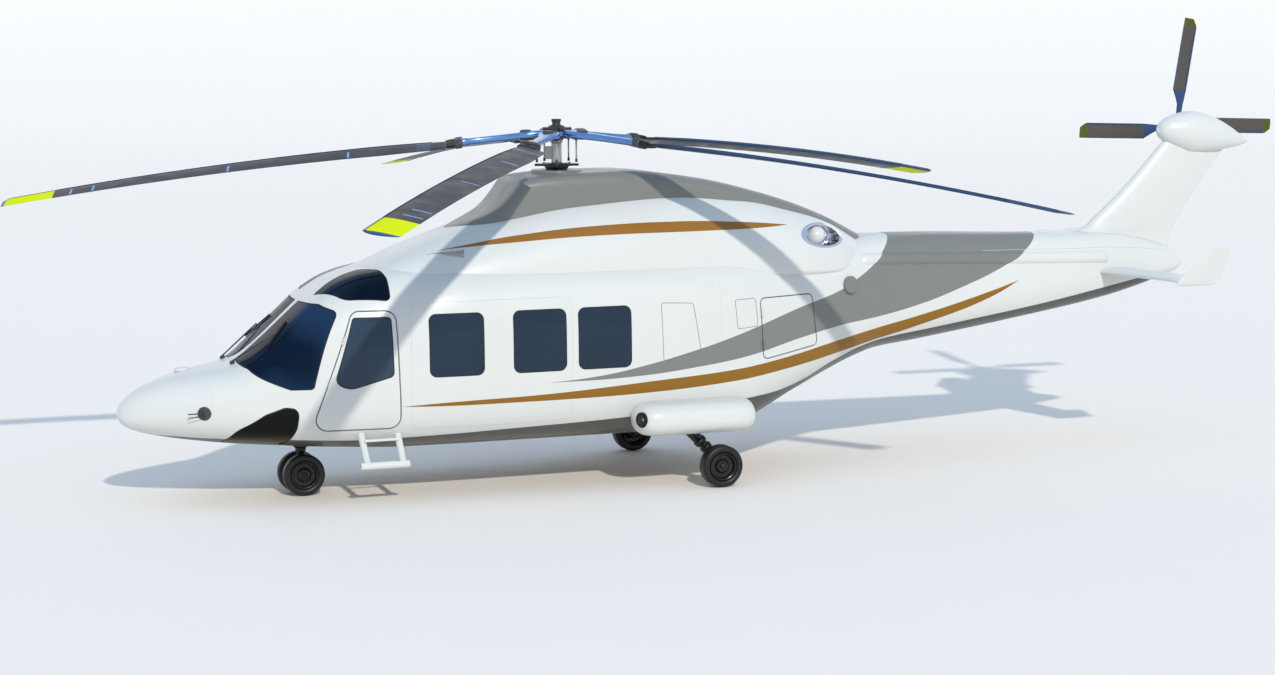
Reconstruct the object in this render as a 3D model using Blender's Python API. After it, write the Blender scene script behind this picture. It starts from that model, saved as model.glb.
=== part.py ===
"""A twin-engined passenger helicopter with five main blades, parked on its wheels.

Metres. The origin is on the flat belly plate right under the rotor mast.
+X points aft, +Y to the helicopter's right, +Z up. The floor is at z = -0.5.
"""
import math

import bmesh
import bpy
from mathutils import Matrix, Vector

# Fits between neighbours
GAP = 0.0003            # between faces that touch
SEAM = 0.0006           # round a closed panel that doesn't open here
DOOR_GAP = 0.006        # round a door that swings
BEARING_GAP = 0.0005    # between a turning shoulder and what carries it

# Body shell
WALL = 0.05
PANE = 0.012
DOOR_SKIN = 0.012       # a hinged door's outer skin, which is wider than the pan behind it
PAN_INSET = 0.034       # from the opening's edge to the pan
NOSE_SPLIT = -4.02
CABIN_END = 1.50
BOOM_START = 3.78
BELLY_PLATE = 0.20      # half the hard point's side
SECTION_POINTS = 28

# The body's sections: width is the half width, mid the height of the widest line,
# upper and lower are the roundness (2 is an ellipse, more is squarer)
BODY = [
    # x, top, bottom, mid, width, upper, lower
    (-4.92, 0.500, 0.470, 0.485, 0.015, 2.0, 2.0),
    (-4.87, 0.590, 0.375, 0.480, 0.120, 2.0, 2.0),
    (-4.71, 0.720, 0.290, 0.490, 0.260, 2.1, 2.1),
    (-4.40, 0.850, 0.215, 0.510, 0.430, 2.2, 2.2),
    (-4.02, 0.935, 0.155, 0.540, 0.600, 2.4, 2.4),
    (-3.75, 0.980, 0.125, 0.560, 0.700, 2.7, 2.6),
    (-3.60, 1.050, 0.110, 0.570, 0.745, 3.2, 2.6),
    (-3.40, 1.205, 0.092, 0.590, 0.800, 3.7, 2.7),
    (-3.10, 1.470, 0.066, 0.620, 0.870, 3.8, 2.8),
    (-2.85, 1.685, 0.045, 0.660, 0.925, 3.8, 2.9),
    (-2.60, 1.840, 0.030, 0.700, 0.980, 3.7, 2.9),
    (-2.30, 1.930, 0.012, 0.750, 1.035, 3.7, 3.0),
    (-1.90, 1.975, 0.000, 0.790, 1.085, 3.9, 3.1),
    (-1.30, 1.990, 0.000, 0.820, 1.115, 4.4, 3.2),
    (1.40, 1.990, 0.000, 0.820, 1.120, 4.4, 3.2),
    (1.50, 1.988, 0.000, 0.822, 1.116, 4.4, 3.2),
    (1.75, 1.980, 0.000, 0.830, 1.100, 4.4, 3.2),
    (1.95, 1.980, 0.045, 0.850, 1.060, 4.2, 3.0),
    (2.60, 1.990, 0.335, 0.980, 0.880, 3.8, 2.8),
    (3.55, 2.060, 0.700, 1.230, 0.580, 3.2, 2.5),
    (3.78, 2.080, 0.760, 1.290, 0.535, 3.0, 2.4),
    (4.30, 2.075, 0.825, 1.340, 0.480, 3.0, 2.4),
    (5.60, 2.030, 1.010, 1.450, 0.380, 2.8, 2.4),
    (6.85, 1.990, 1.215, 1.550, 0.280, 2.6, 2.3),
    (7.40, 1.890, 1.350, 1.600, 0.220, 2.4, 2.2),
    (7.70, 1.800, 1.445, 1.590, 0.150, 2.2, 2.2),
    (7.87, 1.710, 1.500, 1.585, 0.095, 2.2, 2.2),
    (7.95, 1.600, 1.565, 1.583, 0.025, 2.0, 2.0),
]

# The white engine cowling on the roof and the grey mast fairing on the cowling
COWL = [
    # x, top, bottom, mid, width, upper, lower
    (-2.36, 1.890, 1.60, 1.70, 0.52, 2.2, 2.0),
    (-2.05, 2.040, 1.60, 1.70, 0.76, 2.2, 2.0),
    (-1.55, 2.235, 1.60, 1.72, 0.87, 2.2, 2.0),
    (-0.80, 2.470, 1.60, 1.75, 0.91, 2.2, 2.0),
    (0.00, 2.640, 1.60, 1.75, 0.92, 2.3, 2.0),
    (1.20, 2.730, 1.60, 1.75, 0.92, 2.3, 2.0),
    (2.00, 2.660, 1.60, 1.75, 0.90, 2.2, 2.0),
    (2.60, 2.500, 1.60, 1.75, 0.83, 2.2, 2.0),
    (3.10, 2.320, 1.60, 1.75, 0.68, 2.2, 2.0),
    (3.55, 2.060, 1.60, 1.75, 0.42, 2.2, 2.0),
]
PYLON = [
    # x, top, bottom, mid, width, upper, lower
    (-1.24, 2.310, 1.90, 2.05, 0.16, 2.4, 2.0),
    (-1.05, 2.470, 1.90, 2.15, 0.34, 2.4, 2.0),
    (-0.80, 2.700, 1.90, 2.25, 0.44, 2.6, 2.0),
    (-0.62, 2.860, 1.90, 2.35, 0.49, 2.8, 2.0),
    (0.00, 2.905, 2.00, 2.40, 0.53, 3.0, 2.0),
    (0.60, 2.915, 2.00, 2.40, 0.54, 3.0, 2.0),
    (1.45, 2.840, 2.00, 2.38, 0.54, 2.8, 2.0),
    (2.40, 2.610, 2.00, 2.25, 0.48, 2.6, 2.0),
    (3.10, 2.350, 1.90, 2.10, 0.38, 2.4, 2.0),
    (3.58, 2.110, 1.85, 1.95, 0.24, 2.2, 2.0),
]
COWL_POINTS = 24
PYLON_POINTS = 20
EXHAUST_MOUTH = (2.93, 0.59, 2.13)
EXHAUST_DEPTH = 0.20
EXHAUST_FOOT = 0.105     # half the oval's height inside the cowling
EXHAUST_RIM = 0.125      # and at the mouth
EXHAUST_WALL = 0.008
EXHAUST_WIDE = 2.4       # the oval's width over its height

# Window and door outlines, as corners with their radii, in one of the views below
WINDSHIELD = [
    # across, up, radius
    (-2.045, 1.600, 0.02), (-2.354, 1.226, 0.30), (-2.535, 1.005, 0.02), (-2.440, 1.000, 0.05),
    (-2.170, 0.955, 0.30), (-1.700, 0.742, 0.03), (-1.495, 0.742, 0.04), (-1.330, 1.545, 0.07),
    (-1.599, 1.612, 0.20),
]
ROOF_WINDOW = [
    # along, up, radius
    (-2.860, 0.965, 0.03), (-2.700, 1.075, 0.20), (-2.520, 1.160, 0.20), (-2.330, 1.195, 0.08),
    (-2.175, 1.030, 0.12), (-2.160, 0.800, 0.15), (-2.180, 0.490, 0.05), (-2.646, 0.610, 0.20),
]
CHIN_WINDOW = [
    # along, up, radius
    (-3.900, 0.400, 0.03), (-3.780, 0.680, 0.30), (-3.503, 0.893, 0.30), (-3.300, 0.985, 0.20),
    (-3.155, 0.990, 0.06), (-3.170, 0.800, 0.20), (-3.290, 0.330, 0.03), (-3.860, 0.320, 0.03),
]
CREW_DOOR = [
    # along, up, radius
    (-2.590, 1.548, 0.11), (-2.150, 1.548, 0.11), (-2.110, 0.300, 0.12), (-3.045, 0.292, 0.13),
]
CREW_WINDOW = [
    # along, up, radius
    (-2.590, 1.484, 0.045), (-2.195, 1.486, 0.045), (-2.180, 0.860, 0.06), (-2.640, 0.725, 0.07),
    (-2.800, 0.800, 0.06),
]
BAGGAGE_DOOR = [
    # along, up, radius
    (1.990, 1.500, 0.06), (2.700, 1.505, 0.06), (2.770, 0.930, 0.06), (2.025, 0.820, 0.06),
]
CABIN_DOOR_BOX = (-2.00, -0.225, 0.28, 1.62, 0.10)
CABIN_WINDOW_BOXES = [
    # front, rear, sill, head, radius
    (-1.81, -1.21, 0.83, 1.50, 0.08),
    (-0.89, -0.29, 0.83, 1.50, 0.08),
    (-0.16, 0.45, 0.83, 1.50, 0.08),
]
CORNER_STEPS = 2

# Door hinges: barrels just proud of the skin, on a line along the door's front edge
HINGES = {
    # door: how far out the line runs, the heights of its two hinges
    "crew_door": (0.955, (0.80, 1.25)),
    "baggage_door": (1.068, (0.99, 1.34)),
}
HINGE_BARREL = 0.010
HINGE_BORE = 0.0048
HINGE_PIN = 0.0040
HINGE_KNUCKLE = 0.020    # half the length of the door's knuckle
HINGE_HALF = 0.045       # half the length of a whole hinge
LEAF = (0.006, 0.026)    # from the line to a leaf's near and far edge
LEAF_SHORT = 0.0015      # a leaf is this much shorter than its barrel at each end
LEAF_DEPTH = 0.050

# Inside the cabin
FLOOR_LEVEL = 0.22
FLOOR_DEPTH = 0.06
FLOOR_FRONT = -3.05
FLOOR_PADS = [
    # front, rear, half width
    (-1.30, -0.50, 0.60),
    (0.20, 0.75, 0.60),
]
PAD_HEIGHT = 0.004
BAGGAGE_BAY = (1.95, 2.82, 0.80, 1.62)
SEAT_FOOT = FLOOR_LEVEL + GAP
BENCH_HALF_WIDTH = 0.80
BENCH_BACKS = 4

# Tail
FIN = [
    # height, front edge, rear edge, half thickness
    (1.62, 6.05, 7.760, 0.100),
    (1.94, 6.20, 7.800, 0.104),
    (2.00, 6.45, 7.825, 0.104),
    (2.04, 6.59, 7.850, 0.103),
    (2.18, 6.77, 7.940, 0.100),
    (2.51, 7.155, 8.185, 0.092),
    (2.95, 7.59, 8.535, 0.080),
    (3.16, 7.79, 8.660, 0.075),
]
TAIL_POD = [
    # x, top, bottom, mid, width, upper, lower
    (7.60, 3.190, 3.150, 3.170, 0.020, 2.0, 2.0),
    (7.65, 3.270, 3.080, 3.170, 0.090, 2.0, 2.0),
    (7.83, 3.365, 2.970, 3.160, 0.165, 2.0, 2.0),
    (8.05, 3.400, 2.900, 3.150, 0.200, 2.0, 2.0),
    (8.30, 3.350, 2.905, 3.120, 0.185, 2.0, 2.0),
    (8.58, 3.220, 2.940, 3.080, 0.125, 2.0, 2.0),
    (8.78, 3.090, 2.980, 3.035, 0.055, 2.0, 2.0),
    (8.86, 3.035, 3.010, 3.022, 0.012, 2.0, 2.0),
]
STABILIZER = [
    # distance out, front edge, rear edge, height, half thickness
    (0.05, 6.62, 7.30, 1.54, 0.045),
    (0.60, 6.74, 7.35, 1.54, 0.040),
    (1.52, 6.93, 7.44, 1.53, 0.030),
    (1.60, 6.90, 7.46, 1.49, 0.024),
    (1.64, 6.99, 7.49, 1.60, 0.020),
    (1.70, 7.29, 7.58, 1.90, 0.014),
]
WING_STATIONS = (0.0, 0.03, 0.15, 0.4, 0.75, 1.0)

# Wheels and legs
WHEELBASE = 4.33
NOSE_GEAR_X = -2.95
MAIN_GEAR_X = NOSE_GEAR_X + WHEELBASE
FLOOR_Z = -0.5
NOSE_TYRE_RADIUS = 0.225
MAIN_TYRE_RADIUS = 0.230
NOSE_TYRE_OUT = 0.125
MAIN_TYRE_OUT = 1.37
NOSE_TYRE_WIDTH = 0.12
MAIN_TYRE_WIDTH = 0.17
NOSE_AXLE_RADIUS = 0.022
MAIN_AXLE_RADIUS = 0.030
LEG_OUT = 1.16           # the main leg's distance out
LEG_RADIUS = 0.050
AXLE_CLEARANCE = 0.002
HUB_SHARE = 0.62         # the hub's width over the tyre's
SWIVEL_Z = -0.03         # the nose leg's foot, above the tyres
WHEEL_STEPS = 20

# Rotors
MAIN_RADIUS = 6.01
MAIN_PHASE = 20.0
MAIN_BLADES = 5
HUB_HEIGHT = 3.32
MAST_RADIUS = 0.056
MAST_FOOT = 2.915
ARM_END = 1.05
CUFF_END = 1.22
BLADE_CHORD = 0.44
ARM_START = 0.10
ARM_SAG = 0.115          # how far an arm has come down at its cuff's end
BLADE_SLOPE = 0.326      # a blade's further droop at its tip: the straight part
BLADE_BEND = 0.300       # and the bent part
ROOT_PITCH = 16.0        # degrees, front edge up
TIP_PITCH = 9.0
SWASHPLATE_RADIUS = 0.26
SWASHPLATE_TOP = 2.99
LINK_RADIUS = 0.22
TAIL_HUB = (8.14, 0.44, 3.175)
TAIL_RADIUS = 1.35
TAIL_PAIRS = (8.5, -88.0)
TAIL_CHORD = 0.18

ROOT_HALF = math.sqrt(0.5)
LEFT, RIGHT = -1, 1
SIDES = {"left": LEFT, "right": RIGHT}

LOOKS = {
    # name: red, green, blue, roughness, metallic
    "white_paint": (0.86, 0.87, 0.86, 0.25, 0.0),
    "grey_paint": (0.27, 0.28, 0.27, 0.35, 0.0),
    "dark_glass": (0.03, 0.05, 0.09, 0.05, 0.0),
    "bright_metal": (0.75, 0.76, 0.78, 0.15, 1.0),
    "rotor_metal": (0.16, 0.24, 0.42, 0.30, 0.8),
    "rotor_black": (0.09, 0.09, 0.11, 0.45, 0.0),
    "gear_black": (0.03, 0.03, 0.03, 0.40, 0.2),
    "tyre_black": (0.02, 0.02, 0.02, 0.80, 0.0),
    "cabin_grey": (0.20, 0.20, 0.21, 0.70, 0.0),
    "seat_fabric": (0.10, 0.10, 0.12, 0.90, 0.0),
    "panel_black": (0.02, 0.02, 0.02, 0.60, 0.0),
}


def clear_scene():
    for item in list(bpy.data.objects):
        bpy.data.objects.remove(item, do_unlink=True)


def look(name):
    made = bpy.data.materials.get(name)
    if made:
        return made
    red, green, blue, roughness, metallic = LOOKS[name]
    made = bpy.data.materials.new(name)
    made.use_nodes = True
    shader = made.node_tree.nodes["Principled BSDF"]
    shader.inputs["Base Color"].default_value = (red, green, blue, 1.0)
    shader.inputs["Roughness"].default_value = roughness
    shader.inputs["Metallic"].default_value = metallic
    return made


def solid(name, points, faces, finish=None):
    """An object from points and faces, its faces turned outward."""
    mesh = bpy.data.meshes.new(name)
    mesh.from_pydata([tuple(point) for point in points], [], faces)
    work = bmesh.new()
    work.from_mesh(mesh)
    bmesh.ops.recalc_face_normals(work, faces=work.faces)
    work.to_mesh(mesh)
    work.free()
    mesh.shade_smooth()
    mesh.set_sharp_from_angle(angle=math.radians(30))
    made = bpy.data.objects.new(name, mesh)
    bpy.context.scene.collection.objects.link(made)
    if finish:
        mesh.materials.append(look(finish))
    else:
        made.hide_render = True
        made.display_type = "WIRE"
    return made


def combine(target, tool, operation):
    step = target.modifiers.new(tool.name, "BOOLEAN")
    step.operation = operation
    step.solver = "EXACT"
    step.object = tool
    return target


def subtract(target, *tools):
    for tool in tools:
        combine(target, tool, "DIFFERENCE")
    return target


def keep_inside(target, tool):
    return combine(target, tool, "INTERSECT")


def unite(target, *tools):
    for tool in tools:
        combine(target, tool, "UNION")
    return target


def smooth_value(xs, ys, x):
    """A curve through the table's values with no overshoot."""
    last = len(xs) - 1
    if x <= xs[0]:
        return ys[0]
    if x >= xs[last]:
        return ys[last]
    i = max(k for k in range(last) if xs[k] <= x)

    def slope(k):
        if k == 0:
            return (ys[1] - ys[0]) / (xs[1] - xs[0])
        if k == last:
            return (ys[k] - ys[k - 1]) / (xs[k] - xs[k - 1])
        before, after = xs[k] - xs[k - 1], xs[k + 1] - xs[k]
        a, b = (ys[k] - ys[k - 1]) / before, (ys[k + 1] - ys[k]) / after
        if a * b <= 0:
            return 0.0
        return 3 * (before + after) / ((2 * after + before) / a + (after + 2 * before) / b)

    span = xs[i + 1] - xs[i]
    t = (x - xs[i]) / span
    a, b, rise = slope(i) * span, slope(i + 1) * span, ys[i + 1] - ys[i]
    return ys[i] + t * (a + t * (3 * rise - 2 * a - b + t * (a + b - 2 * rise)))


def section(table, x):
    columns = list(zip(*table))
    return [smooth_value(columns[0], column, x) for column in columns[1:]]


def ring(table, x, count, grow=0.0):
    """One closed section of a body table at x, made larger by grow all round."""
    top, bottom, mid, width, upper, lower = section(table, x)
    points = []
    for k in range(count):
        angle = 2 * math.pi * (k + 0.5) / count
        c, s = math.cos(angle), math.sin(angle)
        height = (top - mid if s > 0 else mid - bottom) + grow
        power = 2 / (upper if s > 0 else lower)
        y = (width + grow) * math.copysign(abs(c) ** power, c)
        z = mid + height * math.copysign(abs(s) ** power, s)
        points.append((x, y, z))
    return points


def stations(table, start, end):
    inside = [row[0] for row in table if start + 0.01 < row[0] < end - 0.01]
    return [start] + inside + [end]


def stations_around(table, start, end):
    """The table's own stations that take in a stretch, so that facets match the whole body's."""
    xs = [row[0] for row in table]
    return [x for x in xs if max(a for a in xs if a <= start) <= x <= min(b for b in xs if b >= end)]


def loft(name, rings, finish=None):
    """A closed skin over equal rings, with its two ends filled."""
    count = len(rings[0])
    points = [point for one in rings for point in one]
    faces = []
    for i in range(len(rings) - 1):
        for k in range(count):
            after = (k + 1) % count
            here, there = i * count, (i + 1) * count
            faces.append((here + k, here + after, there + after))
            faces.append((here + k, there + after, there + k))
    faces.append(tuple(range(count - 1, -1, -1)))
    faces.append(tuple(range((len(rings) - 1) * count, len(rings) * count)))
    return solid(name, points, faces, finish)


def body_loft(name, table, start, end, count, grow=0.0, finish=None):
    return loft(name, [ring(table, x, count, grow) for x in stations(table, start, end)], finish)


def tube(name, table, start, end, count, depth, top=0.0, finish=None):
    """The body's wall over a stretch from one depth to another, open at both ends."""
    outer = [ring(table, x, count, -top) for x in stations_around(table, start, end)]
    inner = [ring(table, x, count, -depth) for x in stations_around(table, start, end)]
    rings = outer + inner[::-1]
    points = [point for one in rings for point in one]
    faces = []
    for i in range(len(rings)):
        here, there = i * count, (i + 1) % len(rings) * count
        for k in range(count):
            after = (k + 1) % count
            faces.append((here + k, here + after, there + after, there + k))
    return solid(name, points, faces, finish)


def rounded(corners, steps=CORNER_STEPS):
    """An outline with an arc at each corner."""
    outline = []
    for i, (u, v, radius) in enumerate(corners):
        here = Vector((u, v))
        before = (Vector(corners[i - 1][:2]) - here)
        after = (Vector(corners[(i + 1) % len(corners)][:2]) - here)
        half = before.angle(after) / 2
        cut = min(radius / math.tan(half), before.length * 0.45, after.length * 0.45)
        radius = cut * math.tan(half)
        middle = here + (before.normalized() + after.normalized()).normalized() * radius / math.sin(half)
        first = here + before.normalized() * cut - middle
        last = here + after.normalized() * cut - middle
        turn = first.angle_signed(last)
        for k in range(steps + 1):
            outline.append(middle + Matrix.Rotation(-turn * k / steps, 2) @ first)
    return outline


def inset(outline, distance):
    """The outline moved inward by a distance."""
    area = sum(a.x * b.y - b.x * a.y for a, b in zip(outline, outline[1:] + outline[:1]))
    turn = 1 if area > 0 else -1
    moved = []
    for i, here in enumerate(outline):
        before = (here - outline[i - 1]).normalized()
        after = (outline[(i + 1) % len(outline)] - here).normalized()
        inward = (Vector((-before.y, before.x)) + Vector((-after.y, after.x))).normalized() * turn
        spread = max(inward.dot(Vector((-after.y, after.x)) * turn), 0.5)
        moved.append(here + inward * distance / spread)
    return moved


def corners_of(box):
    front, rear, low, high, radius = box
    return [(front, high, radius), (rear, high, radius), (rear, low, radius), (front, low, radius)]


def view_axes(view, side):
    """The across, up and outward directions of a view of one side."""
    r = ROOT_HALF
    return {
        "side": (Vector((1, 0, 0)), Vector((0, 0, 1)), Vector((0, side, 0))),
        "quarter": (Vector((r, side * r, 0)), Vector((0, 0, 1)), Vector((-r, side * r, 0))),
        "roof": (Vector((1, 0, 0)), Vector((0, -side * r, r)), Vector((0, side * r, r))),
        "chin": (Vector((1, 0, 0)), Vector((0, side * r, r)), Vector((0, side * r, -r))),
    }[view]


def prism(name, outline, view, side, near, far, finish=None):
    """An outline of a view, extruded from near to far along its outward direction."""
    across, up, out = view_axes(view, side)
    count = len(outline)
    points = [across * p.x + up * p.y + out * depth for depth in (near, far) for p in outline]
    faces = [tuple(range(count)), tuple(range(2 * count - 1, count - 1, -1))]
    faces += [(k, (k + 1) % count, count + (k + 1) % count, count + k) for k in range(count)]
    return solid(name, points, faces, finish)


def box(name, low, high, finish=None):
    (x0, y0, z0), (x1, y1, z1) = low, high
    points = [(x, y, z) for z in (z0, z1) for x, y in ((x0, y0), (x1, y0), (x1, y1), (x0, y1))]
    faces = [(3, 2, 1, 0), (4, 5, 6, 7), (0, 1, 5, 4), (1, 2, 6, 5), (2, 3, 7, 6), (3, 0, 4, 7)]
    return solid(name, points, faces, finish)


def turned(name, profile, axis, centre, steps, finish=None, closed=False, wide=None):
    """A turned shape: profile is (distance along the axis, radius); closed makes a ring.

    Wide makes it an oval, that many times as wide as it is high.
    """
    along = Vector(axis).normalized()
    first = along.cross(Vector((0, 0, 1))) if wide else along.orthogonal()
    first.normalize()
    second = along.cross(first)
    first = first * (wide or 1)
    centre = Vector(centre)
    points, faces = [], []
    for distance, radius in profile:
        for k in range(steps):
            angle = 2 * math.pi * k / steps
            offset = (first * math.cos(angle) + second * math.sin(angle)) * radius
            points.append(centre + along * distance + offset)
    loops = len(profile)
    for i in range(loops if closed else loops - 1):
        here, there = i * steps, (i + 1) % loops * steps
        for k in range(steps):
            after = (k + 1) % steps
            faces.append((here + k, here + after, there + after, there + k))
    if not closed:
        faces.append(tuple(range(steps - 1, -1, -1)))
        faces.append(tuple(range((loops - 1) * steps, loops * steps)))
    return solid(name, points, faces, finish)


def rod(name, start, end, radius, steps=8, finish=None):
    start, end = Vector(start), Vector(end)
    length = (end - start).length
    return turned(name, [(0, radius), (length, radius)], end - start, start, steps, finish)


def wing_outline(front, rear, half_thickness):
    """The (along, aside) points of a wing section, front edge first."""
    upper = []
    for u in WING_STATIONS:
        bulge = 2.6 * math.sqrt(u) * (1 - u) ** 0.75 if u < 1 else 0.0
        upper.append((front + (rear - front) * u, half_thickness * max(bulge * 0.77, 0.08)))
    return upper + [(along, -aside) for along, aside in reversed(upper)]


# Cutters that several pieces share
def shared_cutters():
    cutters = {"body": body_loft("body_envelope", BODY, BODY[0][0], BODY[-1][0], SECTION_POINTS, GAP)}
    for name, side in SIDES.items():
        for key, corners, view, near, far in (
            ("windshield", WINDSHIELD, "quarter", 1.9, 3.2),
            ("roof_window", ROOF_WINDOW, "roof", 1.0, 2.4),
            ("chin_window", CHIN_WINDOW, "chin", 0.0, 0.9),
            ("crew_door", CREW_DOOR, "side", 0.70, 1.3),
            ("crew_window", CREW_WINDOW, "side", 0.70, 1.3),
            ("baggage_door", BAGGAGE_DOOR, "side", 0.50, 1.3),
            ("cabin_door", corners_of(CABIN_DOOR_BOX), "side", 0.80, 1.3),
        ):
            cutters[key, name] = prism(f"{key}_cut_{name}", rounded(corners), view, side, near, far)
        for i, window in enumerate(CABIN_WINDOW_BOXES):
            label = f"cabin_window_cut_{i}_{name}"
            outline = rounded(corners_of(window))
            cutters["cabin_window", i, name] = prism(label, outline, "side", side, 0.8, 1.3)
    return cutters


def make_shells(cutters):
    body_loft("nose_fairing", BODY, BODY[0][0], NOSE_SPLIT - GAP, SECTION_POINTS, finish="white_paint")

    shell = body_loft("cabin_shell", BODY, NOSE_SPLIT, CABIN_END, SECTION_POINTS, finish="white_paint")
    hollow = body_loft("cabin_hollow", BODY, NOSE_SPLIT + WALL, CABIN_END - WALL, SECTION_POINTS, -WALL)
    subtract(shell, hollow)
    plate_low, plate_high = (-BELLY_PLATE, -BELLY_PLATE, 0), (BELLY_PLATE, BELLY_PLATE, WALL / 2)
    for name in SIDES:
        for key in ("windshield", "roof_window", "chin_window", "crew_door", "cabin_door"):
            subtract(shell, cutters[key, name])
        subtract(shell, cutters["cabin_window", 2, name])
    unite(shell, box("belly_plate", plate_low, plate_high))

    start = CABIN_END + GAP
    rear = body_loft("rear_fuselage", BODY, start, BOOM_START, SECTION_POINTS, finish="white_paint")
    bay_front, bay_rear, bay_floor, bay_roof = BAGGAGE_BAY
    bay = body_loft("baggage_hollow", BODY, bay_front, bay_rear, SECTION_POINTS, -WALL)
    bay_low, bay_high = (bay_front - 0.1, -1.5, bay_floor), (bay_rear + 0.1, 1.5, bay_roof)
    keep_inside(bay, box("baggage_space", bay_low, bay_high))
    subtract(rear, bay, cutters["baggage_door", "left"], cutters["baggage_door", "right"])

    body_loft("tail_boom", BODY, BOOM_START + GAP, BODY[-1][0], SECTION_POINTS, finish="white_paint")

    front, rear = NOSE_SPLIT + WALL, CABIN_END - WALL - GAP
    floor = body_loft("cabin_floor", BODY, front, rear, SECTION_POINTS, -WALL - GAP, finish="cabin_grey")
    slice_low = (FLOOR_FRONT, -2, FLOOR_LEVEL - FLOOR_DEPTH)
    keep_inside(floor, box("floor_slice", slice_low, (2, 2, FLOOR_LEVEL)))
    for i, (front, rear, half) in enumerate(FLOOR_PADS):
        pad_low = (front, -half, FLOOR_LEVEL - FLOOR_DEPTH / 2)
        unite(floor, box(f"floor_pad_{i}", pad_low, (rear, half, FLOOR_LEVEL + PAD_HEIGHT)))


def pane(name, corners, view, side, near, far, start, end, gap=GAP):
    """A window pane, flush with the body, inside its cut-out."""
    glass = tube(name, BODY, start, end, SECTION_POINTS, PANE, finish="dark_glass")
    shape = prism(f"{name}_shape", inset(rounded(corners), gap), view, side, near, far)
    return keep_inside(glass, shape)


def door(name, corners, side, start, end, near, gap):
    """A door as thick as the wall, inside its opening."""
    panel = tube(name, BODY, start, end, SECTION_POINTS, WALL, finish="white_paint")
    shape = prism(f"{name}_shape", inset(rounded(corners), gap), "side", side, near, 1.3)
    return keep_inside(panel, shape)


def stepped_door(name, corners, side, start, end, near, gap):
    """A door whose inner pan is smaller than its skin, so that it swings clear of the sill."""
    skin = tube(name, BODY, start, end, SECTION_POINTS, DOOR_SKIN, finish="white_paint")
    keep_inside(skin, prism(f"{name}_shape", inset(rounded(corners), gap), "side", side, near, 1.3))
    pan = tube(f"{name}_pan", BODY, start, end, SECTION_POINTS, WALL, DOOR_SKIN / 2)
    keep_inside(pan, prism(f"{name}_pan_shape", inset(rounded(corners), PAN_INSET), "side", side, near, 1.3))
    return unite(skin, pan)


def make_openings(cutters):
    for name, side in SIDES.items():
        pane(f"windshield_{name}", WINDSHIELD, "quarter", side, 1.9, 3.2, -3.80, -2.55)
        pane(f"roof_window_{name}", ROOF_WINDOW, "roof", side, 1.0, 2.4, -2.95, -2.10)
        pane(f"chin_window_{name}", CHIN_WINDOW, "chin", side, 0.0, 0.9, -3.98, -3.05)
        crew = stepped_door(f"crew_door_{name}", CREW_DOOR, side, -3.15, -2.00, 0.70, DOOR_GAP)
        subtract(crew, cutters["crew_window", name])
        pane(f"crew_door_window_{name}", CREW_WINDOW, "side", side, 0.70, 1.3, -2.90, -2.10)
        cabin = door(f"cabin_door_{name}", corners_of(CABIN_DOOR_BOX), side, -2.10, -0.15, 0.80, SEAM)
        subtract(cabin, cutters["cabin_window", 0, name], cutters["cabin_window", 1, name])
        for i, window in enumerate(CABIN_WINDOW_BOXES):
            front, rear = window[0] - 0.1, window[1] + 0.1
            pane(f"cabin_window_{i + 1}_{name}", corners_of(window), "side", side, 0.8, 1.3, front, rear)
        door(f"baggage_door_{name}", BAGGAGE_DOOR, side, 1.90, 2.90, 0.50, DOOR_GAP)


def hinge_block(name, origin, axes, low, high):
    """A block in a hinge's own frame: along the line, forward, outward."""
    along, forward, out = axes
    points = [origin + along * a + forward * f + out * o
              for o in (low[2], high[2]) for a, f in ((low[0], low[1]), (high[0], low[1]),
                                                      (high[0], high[1]), (low[0], high[1]))]
    faces = [(3, 2, 1, 0), (4, 5, 6, 7), (0, 1, 5, 4), (1, 2, 6, 5), (2, 3, 7, 6), (3, 0, 4, 7)]
    return solid(name, points, faces)


def hang_door(key, corners, carrier_name, name, side):
    """Two hinges on a door's front edge, their pins fixed to the carrier."""
    out_distance, heights = HINGES[key]
    low = Vector((corners[3][0], 0, corners[3][1]))
    high = Vector((corners[0][0], 0, corners[0][1]))
    along = (high - low).normalized()
    forward = Vector((-along.z, 0, along.x))
    out = Vector((0, side, 0))
    low = low - forward * DOOR_GAP / 2 + out * out_distance
    panel, carrier = bpy.data.objects[f"{key}_{name}"], bpy.data.objects[carrier_name]
    for i, height in enumerate(heights):
        origin = low + along * (height - low.z) / along.z
        label = f"{key}_{name}_hinge_{i}"
        axes = (along, forward, out)

        def barrel(part, start, end, radius):
            return rod(f"{label}_{part}", origin + along * start, origin + along * end, radius, 8)

        leaf_half = HINGE_KNUCKLE - LEAF_SHORT
        leaf = hinge_block(f"{label}_leaf", origin, axes, (-leaf_half, -LEAF[1], -LEAF_DEPTH),
                           (leaf_half, -LEAF[0], HINGE_BARREL / 2))
        unite(panel, leaf, barrel("knuckle", -HINGE_KNUCKLE, HINGE_KNUCKLE, HINGE_BARREL))
        subtract(panel, barrel("bore", -HINGE_HALF, HINGE_HALF, HINGE_BORE))
        inner = HINGE_KNUCKLE + BEARING_GAP
        for part, start, end in (("low", -HINGE_HALF, -inner), ("high", inner, HINGE_HALF)):
            leaf = hinge_block(f"{label}_leaf_{part}", origin, axes,
                               (start + LEAF_SHORT, LEAF[0], -LEAF_DEPTH),
                               (end - LEAF_SHORT, LEAF[1], HINGE_BARREL / 2))
            unite(carrier, leaf, barrel(f"barrel_{part}", start, end, HINGE_BARREL))
        unite(carrier, barrel("pin", -HINGE_HALF + BEARING_GAP, HINGE_HALF - BEARING_GAP, HINGE_PIN))


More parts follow.
